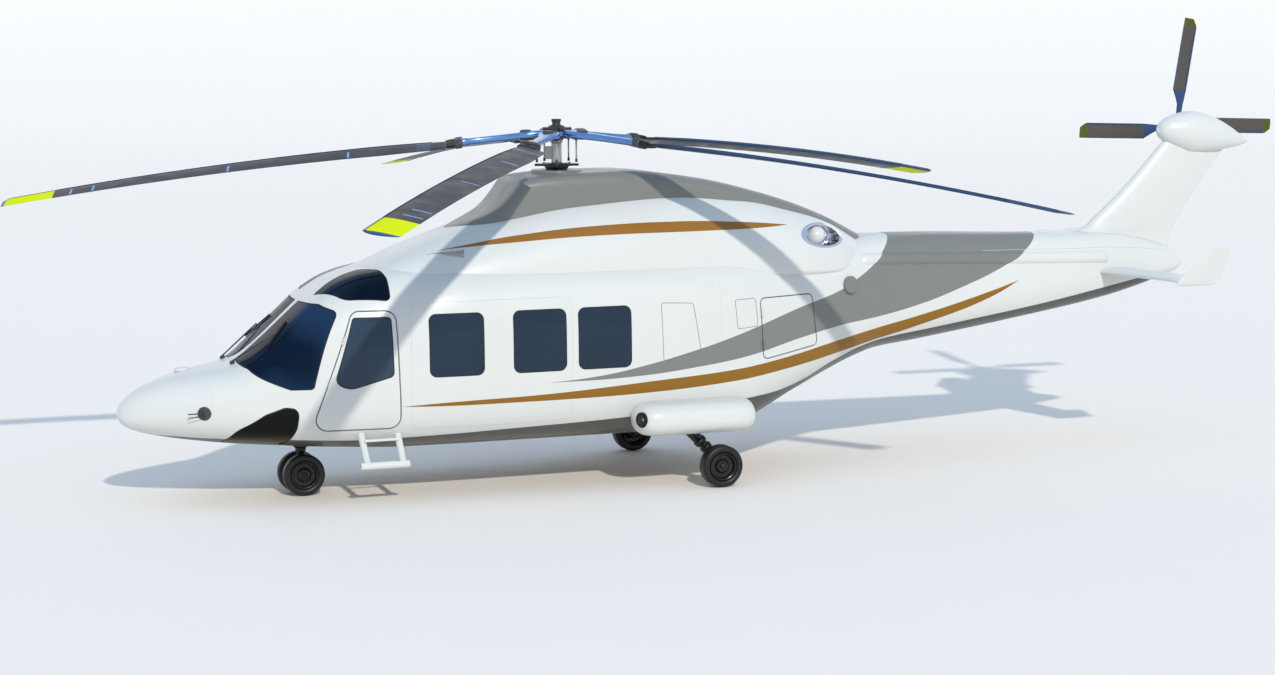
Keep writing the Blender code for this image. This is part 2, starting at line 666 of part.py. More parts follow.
def hang_doors():
    for name, side in SIDES.items():
        hang_door("crew_door", CREW_DOOR, "cabin_shell", name, side)
        hang_door("baggage_door", BAGGAGE_DOOR, "rear_fuselage", name, side)


def make_roof(cutters):
    cowling = body_loft("engine_cowling", COWL, COWL[0][0], COWL[-1][0], COWL_POINTS, finish="white_paint")
    subtract(cowling, cutters["body"])
    fairing = body_loft("mast_fairing", PYLON, PYLON[0][0], PYLON[-1][0], PYLON_POINTS, finish="grey_paint")
    cowl_envelope = body_loft("cowl_envelope", COWL, COWL[0][0], COWL[-1][0], COWL_POINTS, GAP)
    subtract(fairing, cowl_envelope, cutters["body"])
    seal = turned("mast_seal", [(2.80, 0.30), (MAST_FOOT, 0.28)], (0, 0, 1), (0, 0, 0), 24)
    unite(fairing, seal)


def make_inside():
    console = box("instrument_console", (-3.42, -0.58, 0.55), (-3.20, 0.58, 0.97), finish="panel_black")
    pedestal = box("console_pedestal", (-3.25, -0.14, 0.40), (-2.72, 0.14, 0.72))
    foot = box("console_foot", (-3.00, -0.14, SEAT_FOOT), (-2.72, 0.14, 0.45))
    unite(console, pedestal, foot)
    seat_side = [
        # along, up
        (-2.62, SEAT_FOOT), (-2.62, 0.42), (-2.70, 0.46), (-2.70, 0.56), (-2.30, 0.53), (-2.16, 1.08),
        (-2.13, 1.30), (-2.05, 1.30), (-2.10, 0.80), (-2.18, 0.42), (-2.22, SEAT_FOOT),
    ]
    for name, side in SIDES.items():
        outline = [Vector(p) for p in seat_side]
        prism(f"pilot_seat_{name}", outline, "side", side, 0.27, 0.72, finish="seat_fabric")
    rows = [
        # name, back of the row, way it faces (-1 forward, 1 aft), bottom of the windows
        ("cabin_seats_front", -1.90, 1),
        ("cabin_seats_middle", 0.10, -1),
        ("cabin_seats_rear", 1.35, -1),
    ]
    for name, back, way in rows:
        bench_side = [
            # along, up
            (0.05, SEAT_FOOT), (0.05, 0.40), (0.0, 0.75), (0.0, 1.22), (0.08, 1.22), (0.14, 0.70),
            (0.55, 0.66), (0.55, 0.54), (0.45, 0.50), (0.40, SEAT_FOOT),
        ]
        outline = [Vector((back + way * along, up)) for along, up in bench_side]
        bench = prism(name, outline, "side", RIGHT, -BENCH_HALF_WIDTH, BENCH_HALF_WIDTH, "seat_fabric")
        for k in range(1, BENCH_BACKS):
            y = -BENCH_HALF_WIDTH + 2 * BENCH_HALF_WIDTH * k / BENCH_BACKS
            near, far = sorted((back - 0.1 * way, back + 0.2 * way))
            subtract(bench, box(f"{name}_gap_{k}", (near, y - 0.02, 0.76), (far, y + 0.02, 1.30)))


def make_tail(cutters):
    rings = []
    for height, front, rear, half in FIN:
        rings.append([(along, aside, height) for along, aside in wing_outline(front, rear, half)])
    fin = loft("tail_fin", rings, finish="white_paint")
    pod_envelope = body_loft("pod_envelope", TAIL_POD, TAIL_POD[0][0], TAIL_POD[-1][0], 20, GAP)
    subtract(fin, cutters["body"], pod_envelope)
    pod_front, pod_rear = TAIL_POD[0][0], TAIL_POD[-1][0]
    pod = body_loft("tail_gearbox_fairing", TAIL_POD, pod_front, pod_rear, 20, finish="white_paint")
    hub_x, hub_y, hub_z = TAIL_HUB
    unite(pod, rod("tail_output", (hub_x, 0.10, hub_z), (hub_x, hub_y - 0.08, hub_z), 0.075, 16))
    for name, side in SIDES.items():
        rings = []
        for out, front, rear, height, half in STABILIZER:
            lean = 0.0 if out < 1.55 else 1.0
            points = wing_outline(front, rear, half)
            rings.append([(along, side * (out - aside * lean), height + aside * (1 - lean))
                          for along, aside in points])
        blade = loft(f"stabilizer_{name}", rings, finish="white_paint")
        subtract(blade, cutters["body"])


def make_sponsons(cutters):
    sponson = [
        # x, top, bottom, mid, width, upper, lower
        (0.36, 0.30, 0.24, 0.27, 0.03, 2.0, 2.0),
        (0.39, 0.38, 0.16, 0.27, 0.16, 2.1, 2.1),
        (0.48, 0.44, 0.10, 0.27, 0.25, 2.3, 2.3),
        (0.62, 0.455, 0.085, 0.27, 0.28, 2.4, 2.4),
        (1.62, 0.455, 0.085, 0.27, 0.28, 2.4, 2.4),
        (1.76, 0.43, 0.11, 0.27, 0.24, 2.3, 2.3),
        (1.82, 0.36, 0.18, 0.27, 0.14, 2.1, 2.1),
        (1.84, 0.29, 0.25, 0.27, 0.03, 2.0, 2.0),
    ]
    for name, side in SIDES.items():
        rings = []
        for x in stations(sponson, sponson[0][0], sponson[-1][0]):
            rings.append([(px, py + side * 1.22, pz) for px, py, pz in ring(sponson, x, 16)])
        pod = loft(f"sponson_{name}", rings, finish="white_paint")
        subtract(pod, cutters["body"])


def make_steps(cutters):
    for name, side in SIDES.items():
        frame = rod(f"step_{name}", (-2.62, side * 1.12, -0.06), (-2.04, side * 1.12, -0.06), 0.028, 8,
                    finish="white_paint")
        for i, (x, top_y) in enumerate(((-2.54, 0.80), (-2.12, 0.86))):
            post = rod(f"step_post_{name}_{i}", (x, side * 1.12, -0.06), (x, side * top_y, 0.26), 0.028)
            unite(frame, post)
        subtract(frame, cutters["body"])


def wheel(name, x, out, axle_z, radius, width, bore, finish="tyre_black"):
    """Tyre and rim turned as one ring round its axle, its flats as far out as the radius."""
    half = width / 2
    hub, bead, wall = radius * 0.50, radius * 0.60, radius * 0.78
    tread = radius / math.cos(math.pi / WHEEL_STEPS)
    profile = [
        # along the axle, radius
        (-half * HUB_SHARE, bore), (-half * HUB_SHARE, hub), (-half * 0.90, bead), (-half, wall),
        (-half * 0.60, tread), (half * 0.60, tread), (half, wall), (half * 0.90, bead),
        (half * HUB_SHARE, hub), (half * HUB_SHARE, bore),
    ]
    return turned(name, profile, (0, 1, 0), (x, out, axle_z), WHEEL_STEPS, finish, closed=True)


def make_main_gear(cutters):
    axle_z = FLOOR_Z + MAIN_TYRE_RADIUS
    hub_half = MAIN_TYRE_WIDTH / 2 * HUB_SHARE
    hub_near, hub_far = MAIN_TYRE_OUT - hub_half, MAIN_TYRE_OUT + hub_half
    head, seat_head, collar_top = (0.93, 0.12), (0.91, 0.137), (1.10, -0.026)
    collar_foot, arm_top, foot, axle = (1.19, -0.105), (1.24, -0.15), (1.30, -0.20), (MAIN_GEAR_X, axle_z)
    pieces = [
        # name, start and end as (x, z), how far out each is, radius
        ("collar", collar_top, collar_foot, LEG_OUT, LEG_OUT, 0.066),
        ("arm", arm_top, axle, LEG_OUT, LEG_OUT, 0.045),
        ("knuckle", axle, axle, LEG_OUT - 0.06, hub_near - BEARING_GAP, 0.055),
        ("axle", axle, axle, LEG_OUT - 0.04, hub_far, MAIN_AXLE_RADIUS),
        ("cap", axle, axle, hub_far + BEARING_GAP, hub_far + 0.02, 0.042),
        ("core", axle, axle, LEG_OUT - 0.04, hub_far + 0.01, MAIN_AXLE_RADIUS * 0.9),
    ]
    for name, side in SIDES.items():
        def bar(label, start, end, start_out, end_out, radius, finish=None):
            first = (start[0], side * start_out, start[1])
            last = (end[0], side * end_out, end[1])
            return rod(f"{label}_{name}", first, last, radius, 12, finish)

        wheel(f"main_wheel_{name}", MAIN_GEAR_X, side * MAIN_TYRE_OUT, axle_z, MAIN_TYRE_RADIUS,
              MAIN_TYRE_WIDTH, MAIN_AXLE_RADIUS + AXLE_CLEARANCE)
        leg = bar("main_gear_leg", head, foot, LEG_OUT, LEG_OUT, LEG_RADIUS, "gear_black")
        unite(leg, *[bar(f"leg_{piece[0]}", *piece[1:]) for piece in pieces])
        seat = bar("leg_seat", seat_head, foot, LEG_OUT, LEG_OUT, LEG_RADIUS + GAP)
        subtract(bpy.data.objects[f"sponson_{name}"], seat)
        subtract(leg, cutters["body"])


def make_nose_gear(cutters):
    axle_z = FLOOR_Z + NOSE_TYRE_RADIUS
    x = NOSE_GEAR_X
    leg_profile = [
        # height, radius
        (SWIVEL_Z + BEARING_GAP, 0.060), (0.0, 0.060), (0.02, 0.085), (0.12, 0.085),
    ]
    leg = turned("nose_gear_leg", leg_profile, (0, 0, 1), (x, 0, 0), 16, finish="gear_black")
    subtract(leg, cutters["body"])
    fork_profile = [(axle_z - 0.01, 0.040), (SWIVEL_Z - 0.03, 0.042), (SWIVEL_Z, 0.055)]
    fork = turned("nose_fork", fork_profile, (0, 0, 1), (x, 0, 0), 16, finish="gear_black")
    boss_half = NOSE_TYRE_OUT - NOSE_TYRE_WIDTH / 2 * HUB_SHARE - BEARING_GAP
    boss = rod("fork_boss", (x, -boss_half, axle_z), (x, boss_half, axle_z), 0.046, 16)
    bore = rod("fork_bore", (x, -0.3, axle_z), (x, 0.3, axle_z), NOSE_AXLE_RADIUS + AXLE_CLEARANCE, 16)
    subtract(unite(fork, boss), bore)
    wheels = wheel("nose_wheels", x, -NOSE_TYRE_OUT, axle_z, NOSE_TYRE_RADIUS, NOSE_TYRE_WIDTH, 0.010)
    other = wheel("nose_wheel_far", x, NOSE_TYRE_OUT, axle_z, NOSE_TYRE_RADIUS, NOSE_TYRE_WIDTH, 0.010,
                  finish=None)
    axle = rod("nose_axle", (x, -NOSE_TYRE_OUT - 0.03, axle_z), (x, NOSE_TYRE_OUT + 0.03, axle_z),
               NOSE_AXLE_RADIUS, 24)
    unite(wheels, other, axle)


def make_exhausts():
    """A wide oval pipe on each side, its mouth flush with the cowling."""
    cowling = bpy.data.objects["engine_cowling"]
    x, y, z = EXHAUST_MOUTH
    foot, root, rim, beyond = -EXHAUST_DEPTH, EXHAUST_FOOT, EXHAUST_RIM, 0.25
    for name, side in SIDES.items():
        out = Vector((0.42, side * 0.90, 0.05))
        mouth = (x, side * y, z)
        profile = [
            # along the pipe, half height
            (foot, root), (0, rim), (beyond, rim), (beyond, rim - EXHAUST_WALL), (0, rim - EXHAUST_WALL),
            (foot, root - EXHAUST_WALL),
        ]
        pipe = turned(f"exhaust_{name}", profile, out, mouth, 24, "bright_metal", True, EXHAUST_WIDE)
        keep_inside(pipe, body_loft(f"cowl_inside_{name}", COWL, COWL[0][0], COWL[-1][0], COWL_POINTS))
        pocket = [(foot - GAP, root + GAP), (0, rim + GAP), (beyond, rim + GAP)]
        subtract(cowling, turned(f"exhaust_pocket_{name}", pocket, out, mouth, 24, wide=EXHAUST_WIDE))


def pitched(across, a, b, pitch):
    """A section's point, across and up from its middle, when its front edge is pitched up."""
    c, s = math.cos(math.radians(pitch)), math.sin(math.radians(pitch))
    return across * (a * c + b * s) + Vector((0, 0, b * c - a * s))


def blade_rings(start, end, angle, count=8):
    """Wing sections along a drooping blade that points out at an angle in the level plane."""
    along = Vector((math.cos(angle), math.sin(angle), 0))
    across = Vector((-math.sin(angle), math.cos(angle), 0))
    rings = []
    for k in range(count):
        t = k / (count - 1)
        reach = start + (end - start) * t
        sag = ARM_SAG + BLADE_SLOPE * t + BLADE_BEND * t * t
        middle = along * reach + Vector((0, 0, HUB_HEIGHT - sag))
        pitch = ROOT_PITCH + (TIP_PITCH - ROOT_PITCH) * t
        width = BLADE_CHORD * (0.72 + 0.28 * min(t / 0.16, 1)) * (1 if t < 0.95 else 0.86)
        points = wing_outline(-width * 0.3, width * 0.7, width * 0.075)
        rings.append([middle + pitched(across, a, b, pitch) for a, b in points])
    return rings


def make_main_rotor():
    hub = turned("main_rotor_hub", [
        # height, radius
        (MAST_FOOT + BEARING_GAP, MAST_RADIUS), (HUB_HEIGHT - 0.06, MAST_RADIUS), (HUB_HEIGHT - 0.05, 0.155),
        (HUB_HEIGHT + 0.03, 0.155), (HUB_HEIGHT + 0.05, 0.075), (HUB_HEIGHT + 0.15, 0.055),
    ], (0, 0, 1), (0, 0, 0), 20, finish="rotor_metal")
    for i in range(MAIN_BLADES):
        angle = math.radians(MAIN_PHASE + 360 / MAIN_BLADES * i)
        along = Vector((math.cos(angle), math.sin(angle), 0))
        across = Vector((-math.sin(angle), math.cos(angle), 0))
        rings = []
        for reach, half_width, half_height, pitch in (
            (ARM_START, 0.075, 0.035, 0), (0.42, 0.085, 0.035, 0), (ARM_END - 0.1, 0.10, 0.04, 0),
            (ARM_END, 0.15, 0.055, ROOT_PITCH), (CUFF_END, 0.16, 0.045, ROOT_PITCH),
        ):
            sag = ARM_SAG * (reach - ARM_START) / (CUFF_END - ARM_START)
            middle = along * reach + Vector((0, 0, HUB_HEIGHT - sag))
            rings.append([middle + pitched(across, a, b, pitch) for a, b in (
                (-half_width, -half_height), (half_width, -half_height),
                (half_width, half_height), (-half_width, half_height))])
        unite(hub, loft(f"hub_arm_{i}", rings))
        foot = along * LINK_RADIUS + across * 0.06
        link = rod(f"pitch_link_{i}", foot + Vector((0, 0, SWASHPLATE_TOP + 0.006)),
                   foot + Vector((0, 0, HUB_HEIGHT)), 0.012, 6)
        unite(hub, link)
        rings = blade_rings(CUFF_END + GAP, MAIN_RADIUS, angle)
        loft(f"main_blade_{i + 1}", rings, finish="rotor_black")
    bore = MAST_RADIUS + 0.012
    turned("swashplate", [
        # height, radius
        (MAST_FOOT + GAP, bore), (SWASHPLATE_TOP, bore), (SWASHPLATE_TOP, SWASHPLATE_RADIUS),
        (SWASHPLATE_TOP - 0.03, SWASHPLATE_RADIUS), (MAST_FOOT + GAP, 0.20),
    ], (0, 0, 1), (0, 0, 0), 20, finish="bright_metal", closed=True)


def make_tail_rotor():
    x, y, z = TAIL_HUB
    hub_profile = [
        # along the axis, radius
        (-0.08 + BEARING_GAP, 0.055), (-0.03, 0.055), (-0.03, 0.11), (0.05, 0.11), (0.09, 0.04),
    ]
    rotor = turned("tail_rotor", hub_profile, (0, 1, 0), (x, y, z), 16, finish="rotor_black")
    for pair, lean in enumerate(TAIL_PAIRS):
        for half_turn in (0, 180):
            angle = math.radians(lean + half_turn)
            along = Vector((math.sin(angle), 0, math.cos(angle)))
            across = Vector((math.cos(angle), 0, -math.sin(angle)))
            rings = []
            for reach, half_width, half_height in (
                (0.05, 0.035, 0.022), (0.30, 0.040, 0.022), (0.42, TAIL_CHORD / 2, 0.016),
                (1.28, TAIL_CHORD / 2, 0.012), (TAIL_RADIUS, 0.065, 0.007),
            ):
                middle = Vector((x, y, z)) + along * reach
                corners = ((-1, 0), (-0.5, 1), (0.2, 0.8), (1, 0), (0.2, -0.8), (-0.5, -1))
                rings.append([middle + across * a * half_width + Vector((0, b * half_height, 0))
                              for a, b in corners])
            unite(rotor, loft(f"tail_blade_{pair}_{half_turn}", rings))


def main():
    clear_scene()
    cutters = shared_cutters()
    make_shells(cutters)
    make_openings(cutters)
    hang_doors()
    make_roof(cutters)
    make_inside()
    make_tail(cutters)
    make_sponsons(cutters)
    make_steps(cutters)
    make_main_gear(cutters)
    make_nose_gear(cutters)
    make_exhausts()
    make_main_rotor()
    make_tail_rotor()


main()
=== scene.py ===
"""The looks of a twin-engined passenger helicopter with five main blades.

Metres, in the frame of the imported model: the origin is on the flat belly plate right under the
rotor mast, +X points aft, +Y to the helicopter's right and +Z up. The floor is at z = -0.5.
"""

import math

import bmesh
import bpy
import numpy as np
from mathutils import Matrix, Vector


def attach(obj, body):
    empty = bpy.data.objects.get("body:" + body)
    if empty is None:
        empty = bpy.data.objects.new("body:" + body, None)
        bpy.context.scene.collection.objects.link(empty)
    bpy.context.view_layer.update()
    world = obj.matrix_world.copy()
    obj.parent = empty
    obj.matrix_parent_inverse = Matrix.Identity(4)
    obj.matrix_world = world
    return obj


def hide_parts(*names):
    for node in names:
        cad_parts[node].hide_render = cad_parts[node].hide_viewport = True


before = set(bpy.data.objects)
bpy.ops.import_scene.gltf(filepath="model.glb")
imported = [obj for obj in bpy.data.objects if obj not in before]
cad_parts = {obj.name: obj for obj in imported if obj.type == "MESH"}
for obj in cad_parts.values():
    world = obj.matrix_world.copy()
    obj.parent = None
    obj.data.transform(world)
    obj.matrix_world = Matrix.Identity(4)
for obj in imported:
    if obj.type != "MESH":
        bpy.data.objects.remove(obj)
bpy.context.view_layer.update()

# Camera, as it stood for the photograph
CAMERA_PLACE = (-9.959, -28.789, 4.670)
CAMERA_YAW = 20.731
CAMERA_PITCH = -6.79
CAMERA_ROLL = -0.406
CAMERA_LENS = 78.06
CAMERA_CLIP = 600

# Light: the key's direction comes from where the blades' shadows lie
KEY_AZIMUTH = 265.7
KEY_ELEVATION = 31.8
KEY_ENERGY = 2.27
KEY_SPREAD = 1.5
KEY_COLOUR = (1.0, 0.96, 0.88)
SKY_LOW = (0.71, 0.73, 0.75)
SKY_HIGH = (0.33, 0.51, 0.78)
SKY_POWER = 0.7

# The floor is flat up to a distance behind the helicopter, then curves up
FLOOR_Z = -0.5
FLOOR_DROP = 0.0005
FLOOR_COLOURS = ((0.945, 0.875, 0.790), (0.965, 0.895, 0.810))
FLOOR_REACH = 300
SWEEP_START = 60
SWEEP_RADIUS = 150
SWEEP_ANGLES = np.linspace(0.03, 1.40, 36)

UP = (0, 0, 1)
ASIDE = (0, 1, 0)
SIDES = {"left": -1, "right": 1}
GAP = 0.0003
FIT = 0.001
WALL = 0.05
PANE = 0.010
NOSE_SPLIT = -4.02
CABIN_END = 1.50
BOOM_START = 3.78
ROUND_POINTS = 96
STATION_STEP = 0.045
DOOR_GAP = 0.007
GASKET = 0.010
GLASS_SUNK = 0.0005
SEAL_DEPTH = PANE + 0.006
DOOR_SKIN = 0.012
PAN_INSET = 0.034
FRAME_SEAL = (0.016, 0.030)
FRAME_SEAL_WIDTH = 0.026
CABIN_DOOR_GAP = 0.0012
# The body's sections: width is the half width, mid the height of the widest line,
# upper and lower are the roundness (2 is an ellipse, more is squarer)
BODY = [
    # x, top, bottom, mid, width, upper, lower
    (-4.92, 0.500, 0.470, 0.485, 0.015, 2.0, 2.0),
    (-4.87, 0.590, 0.375, 0.480, 0.120, 2.0, 2.0),
    (-4.71, 0.720, 0.290, 0.490, 0.260, 2.1, 2.1),
    (-4.40, 0.850, 0.215, 0.510, 0.430, 2.2, 2.2),
    (-4.02, 0.935, 0.155, 0.540, 0.600, 2.4, 2.4),
    (-3.75, 0.980, 0.125, 0.560, 0.700, 2.7, 2.6),
    (-3.60, 1.050, 0.110, 0.570, 0.745, 3.2, 2.6),
    (-3.40, 1.205, 0.092, 0.590, 0.800, 3.7, 2.7),
    (-3.10, 1.470, 0.066, 0.620, 0.870, 3.8, 2.8),
    (-2.85, 1.685, 0.045, 0.660, 0.925, 3.8, 2.9),
    (-2.60, 1.840, 0.030, 0.700, 0.980, 3.7, 2.9),
    (-2.30, 1.930, 0.012, 0.750, 1.035, 3.7, 3.0),
    (-1.90, 1.975, 0.000, 0.790, 1.085, 3.9, 3.1),
    (-1.30, 1.990, 0.000, 0.820, 1.115, 4.4, 3.2),
    (1.40, 1.990, 0.000, 0.820, 1.120, 4.4, 3.2),
    (1.50, 1.988, 0.000, 0.822, 1.116, 4.4, 3.2),
    (1.75, 1.980, 0.000, 0.830, 1.100, 4.4, 3.2),
    (1.95, 1.980, 0.045, 0.850, 1.060, 4.2, 3.0),
    (2.60, 1.990, 0.335, 0.980, 0.880, 3.8, 2.8),
    (3.55, 2.060, 0.700, 1.230, 0.580, 3.2, 2.5),
    (3.78, 2.080, 0.760, 1.290, 0.535, 3.0, 2.4),
    (4.30, 2.075, 0.825, 1.340, 0.480, 3.0, 2.4),
    (5.60, 2.030, 1.010, 1.450, 0.380, 2.8, 2.4),
    (6.85, 1.990, 1.215, 1.550, 0.280, 2.6, 2.3),
    (7.40, 1.890, 1.350, 1.600, 0.220, 2.4, 2.2),
    (7.70, 1.800, 1.445, 1.590, 0.150, 2.2, 2.2),
    (7.87, 1.710, 1.500, 1.585, 0.095, 2.2, 2.2),
    (7.95, 1.600, 1.565, 1.583, 0.025, 2.0, 2.0),
]
COWL = [
    # x, top, bottom, mid, width, upper, lower
    (-2.36, 1.890, 1.60, 1.70, 0.52, 2.2, 2.0),
    (-2.05, 2.040, 1.60, 1.70, 0.76, 2.2, 2.0),
    (-1.55, 2.235, 1.60, 1.72, 0.87, 2.2, 2.0),
    (-0.80, 2.470, 1.60, 1.75, 0.91, 2.2, 2.0),
    (0.00, 2.640, 1.60, 1.75, 0.92, 2.3, 2.0),
    (1.20, 2.730, 1.60, 1.75, 0.92, 2.3, 2.0),
    (2.00, 2.660, 1.60, 1.75, 0.90, 2.2, 2.0),
    (2.60, 2.500, 1.60, 1.75, 0.83, 2.2, 2.0),
    (3.10, 2.320, 1.60, 1.75, 0.68, 2.2, 2.0),
    (3.55, 2.060, 1.60, 1.75, 0.42, 2.2, 2.0),
]
PYLON = [
    # x, top, bottom, mid, width, upper, lower
    (-1.30, 2.326, 1.90, 2.05, 0.12, 3.0, 2.0),
    (-1.24, 2.345, 1.90, 2.05, 0.24, 4.0, 2.0),
    (-1.05, 2.415, 1.90, 2.15, 0.38, 5.0, 2.0),
    (-0.90, 2.478, 1.90, 2.20, 0.43, 6.0, 2.0),
    (-0.78, 2.552, 1.90, 2.25, 0.455, 7.0, 2.0),
    (-0.68, 2.650, 1.90, 2.32, 0.470, 8.0, 2.0),
    (-0.60, 2.750, 1.90, 2.35, 0.480, 8.0, 2.0),
    (-0.54, 2.836, 1.92, 2.36, 0.488, 8.0, 2.0),
    (-0.48, 2.858, 1.95, 2.38, 0.493, 8.0, 2.0),
    (0.00, 2.896, 2.00, 2.40, 0.52, 8.0, 2.0),
    (0.60, 2.903, 2.00, 2.40, 0.53, 8.0, 2.0),
    (1.45, 2.812, 2.00, 2.38, 0.53, 7.0, 2.0),
    (2.40, 2.586, 2.00, 2.25, 0.48, 5.0, 2.0),
    (3.10, 2.338, 1.90, 2.10, 0.38, 3.6, 2.0),
    (3.58, 2.105, 1.85, 1.95, 0.24, 2.6, 2.0),
]
TAIL_POD = [
    # x, top, bottom, mid, width, upper, lower
    (7.60, 3.190, 3.150, 3.170, 0.020, 2.0, 2.0),
    (7.65, 3.270, 3.080, 3.170, 0.090, 2.0, 2.0),
    (7.83, 3.365, 2.970, 3.160, 0.165, 2.0, 2.0),
    (8.05, 3.400, 2.900, 3.150, 0.200, 2.0, 2.0),
    (8.30, 3.350, 2.905, 3.120, 0.185, 2.0, 2.0),
    (8.58, 3.220, 2.940, 3.080, 0.125, 2.0, 2.0),
    (8.78, 3.090, 2.980, 3.035, 0.055, 2.0, 2.0),
    (8.86, 3.035, 3.010, 3.022, 0.012, 2.0, 2.0),
]
SPONSON = [
    # x, top, bottom, mid, width, upper, lower
    (0.42, 0.30, 0.24, 0.27, 0.03, 2.0, 2.0),
    (0.45, 0.38, 0.16, 0.27, 0.16, 2.1, 2.1),
    (0.54, 0.44, 0.10, 0.27, 0.25, 2.3, 2.3),
    (0.68, 0.455, 0.085, 0.27, 0.28, 2.4, 2.4),
    (1.60, 0.455, 0.085, 0.27, 0.28, 2.4, 2.4),
    (1.73, 0.43, 0.11, 0.27, 0.24, 2.3, 2.3),
    (1.79, 0.36, 0.18, 0.27, 0.14, 2.1, 2.1),
    (1.81, 0.29, 0.25, 0.27, 0.03, 2.0, 2.0),
]
SPONSON_OUT = 1.22
LAMP = (0.458, 1.372, 0.285)
LEG_OUT = 1.16
LEG_LINE = (0.950, 0.249)
EXHAUST_WIDE = 2.4
BALL_RADIUS = 0.100
BALL_DEPTH = -0.080
SCOOP = [(-1.70, 0.569, 2.080), (-1.291, 0.686, 2.138), (-1.319, 0.772, 2.050)]

# Window and door outlines, as corners with their radii, in one of the views below
WINDSHIELD = [
    # across, up, radius
    (-2.045, 1.600, 0.02), (-2.354, 1.226, 0.30), (-2.535, 1.005, 0.02), (-2.440, 1.000, 0.05),
    (-2.170, 0.955, 0.30), (-1.700, 0.742, 0.03), (-1.495, 0.742, 0.04), (-1.330, 1.545, 0.07),
    (-1.599, 1.612, 0.20),
]
ROOF_WINDOW = [
    # along, up, radius
    (-2.860, 0.965, 0.03), (-2.700, 1.075, 0.20), (-2.520, 1.160, 0.20), (-2.330, 1.195, 0.08),
    (-2.175, 1.030, 0.12), (-2.160, 0.800, 0.15), (-2.180, 0.490, 0.05), (-2.646, 0.610, 0.20),
]
CHIN_WINDOW = [
    # along, up, radius
    (-3.900, 0.400, 0.03), (-3.780, 0.680, 0.30), (-3.503, 0.893, 0.30), (-3.300, 0.985, 0.20),
    (-3.155, 0.990, 0.06), (-3.170, 0.800, 0.20), (-3.290, 0.330, 0.03), (-3.860, 0.320, 0.03),
]
CREW_DOOR = [
    # along, up, radius
    (-2.590, 1.548, 0.11), (-2.150, 1.548, 0.11), (-2.110, 0.300, 0.12), (-3.045, 0.292, 0.13),
]
CREW_WINDOW = [
    # along, up, radius
    (-2.590, 1.484, 0.045), (-2.195, 1.486, 0.045), (-2.180, 0.860, 0.06), (-2.640, 0.725, 0.20),
    (-2.800, 0.800, 0.10),
]
BAGGAGE_DOOR = [
    # along, up, radius
    (1.990, 1.500, 0.06), (2.700, 1.505, 0.06), (2.770, 0.930, 0.06), (2.025, 0.820, 0.06),
]
CABIN_DOOR_BOX = (-2.00, -0.225, 0.28, 1.62, 0.10)
CABIN_WINDOW_BOXES = [
    # front, rear, sill, head, radius
    (-1.81, -1.21, 0.83, 1.50, 0.08),
    (-0.89, -0.29, 0.83, 1.50, 0.08),
    (-0.16, 0.45, 0.83, 1.50, 0.08),
]
CORNER_STEPS = 8
BAGGAGE_BAY = (1.95, 2.82, 0.80, 1.62)

# Stripes on the body's side, each between a lower and an upper edge given as (x, z)
GOLD_UPPER_EDGE = [
    (-2.12, 0.534), (-1.60, 0.558), (-0.49, 0.588), (0.66, 0.661), (1.60, 0.731), (2.25, 0.809),
    (2.96, 0.926), (3.69, 1.048), (4.23, 1.156), (5.02, 1.347), (5.55, 1.496),
]
GOLD_LOWER_EDGE = [
    (-2.12, 0.534), (-1.60, 0.520), (-0.49, 0.517), (0.66, 0.540), (1.60, 0.605), (2.25, 0.679),
    (2.98, 0.784), (3.74, 0.916), (4.25, 1.040), (5.03, 1.265), (5.55, 1.496),
]
GREY_UPPER_EDGE = [
    (-0.51, 0.709), (0.08, 0.752), (0.54, 0.826), (1.24, 0.986), (1.85, 1.161), (2.53, 1.360),
    (3.11, 1.507), (3.38, 1.628), (3.56, 1.729), (3.71, 1.850), (3.87, 2.010), (3.99, 2.120),
]
GREY_LOWER_EDGE = [
    (-0.51, 0.709), (0.54, 0.728), (1.24, 0.794), (1.85, 0.880), (2.53, 1.020), (3.10, 1.113),
    (3.68, 1.177), (4.22, 1.284), (4.75, 1.442), (5.29, 1.642), (5.60, 1.801), (5.92, 2.060),
]
BELLY_EDGE = [
    (-4.92, 0.290), (-4.75, 0.270), (-4.58, 0.255), (-4.37, 0.251), (-4.15, 0.233), (-3.91, 0.221),
    (-3.27, 0.197), (-2.81, 0.175), (-2.50, 0.165), (-2.09, 0.179), (-1.00, 0.216), (0.46, 0.276),
    (1.84, 0.403), (2.30, 0.449), (3.10, 0.720), (3.63, 0.875), (4.69, 1.026), (5.88, 1.196),
    (6.30, 1.267), (6.81, 1.360), (7.50, 1.480),
]
COWL_GOLD_UPPER_EDGE = [
    (-1.63, 2.109), (-1.21, 2.186), (-0.67, 2.267), (0.23, 2.341), (1.15, 2.357), (1.75, 2.333),
    (2.48, 2.269),
]
COWL_GOLD_LOWER_EDGE = [
    (-1.63, 2.109), (-1.29, 2.152), (-0.69, 2.197), (0.20, 2.239), (1.36, 2.247), (1.98, 2.250),
    (2.48, 2.269),
]

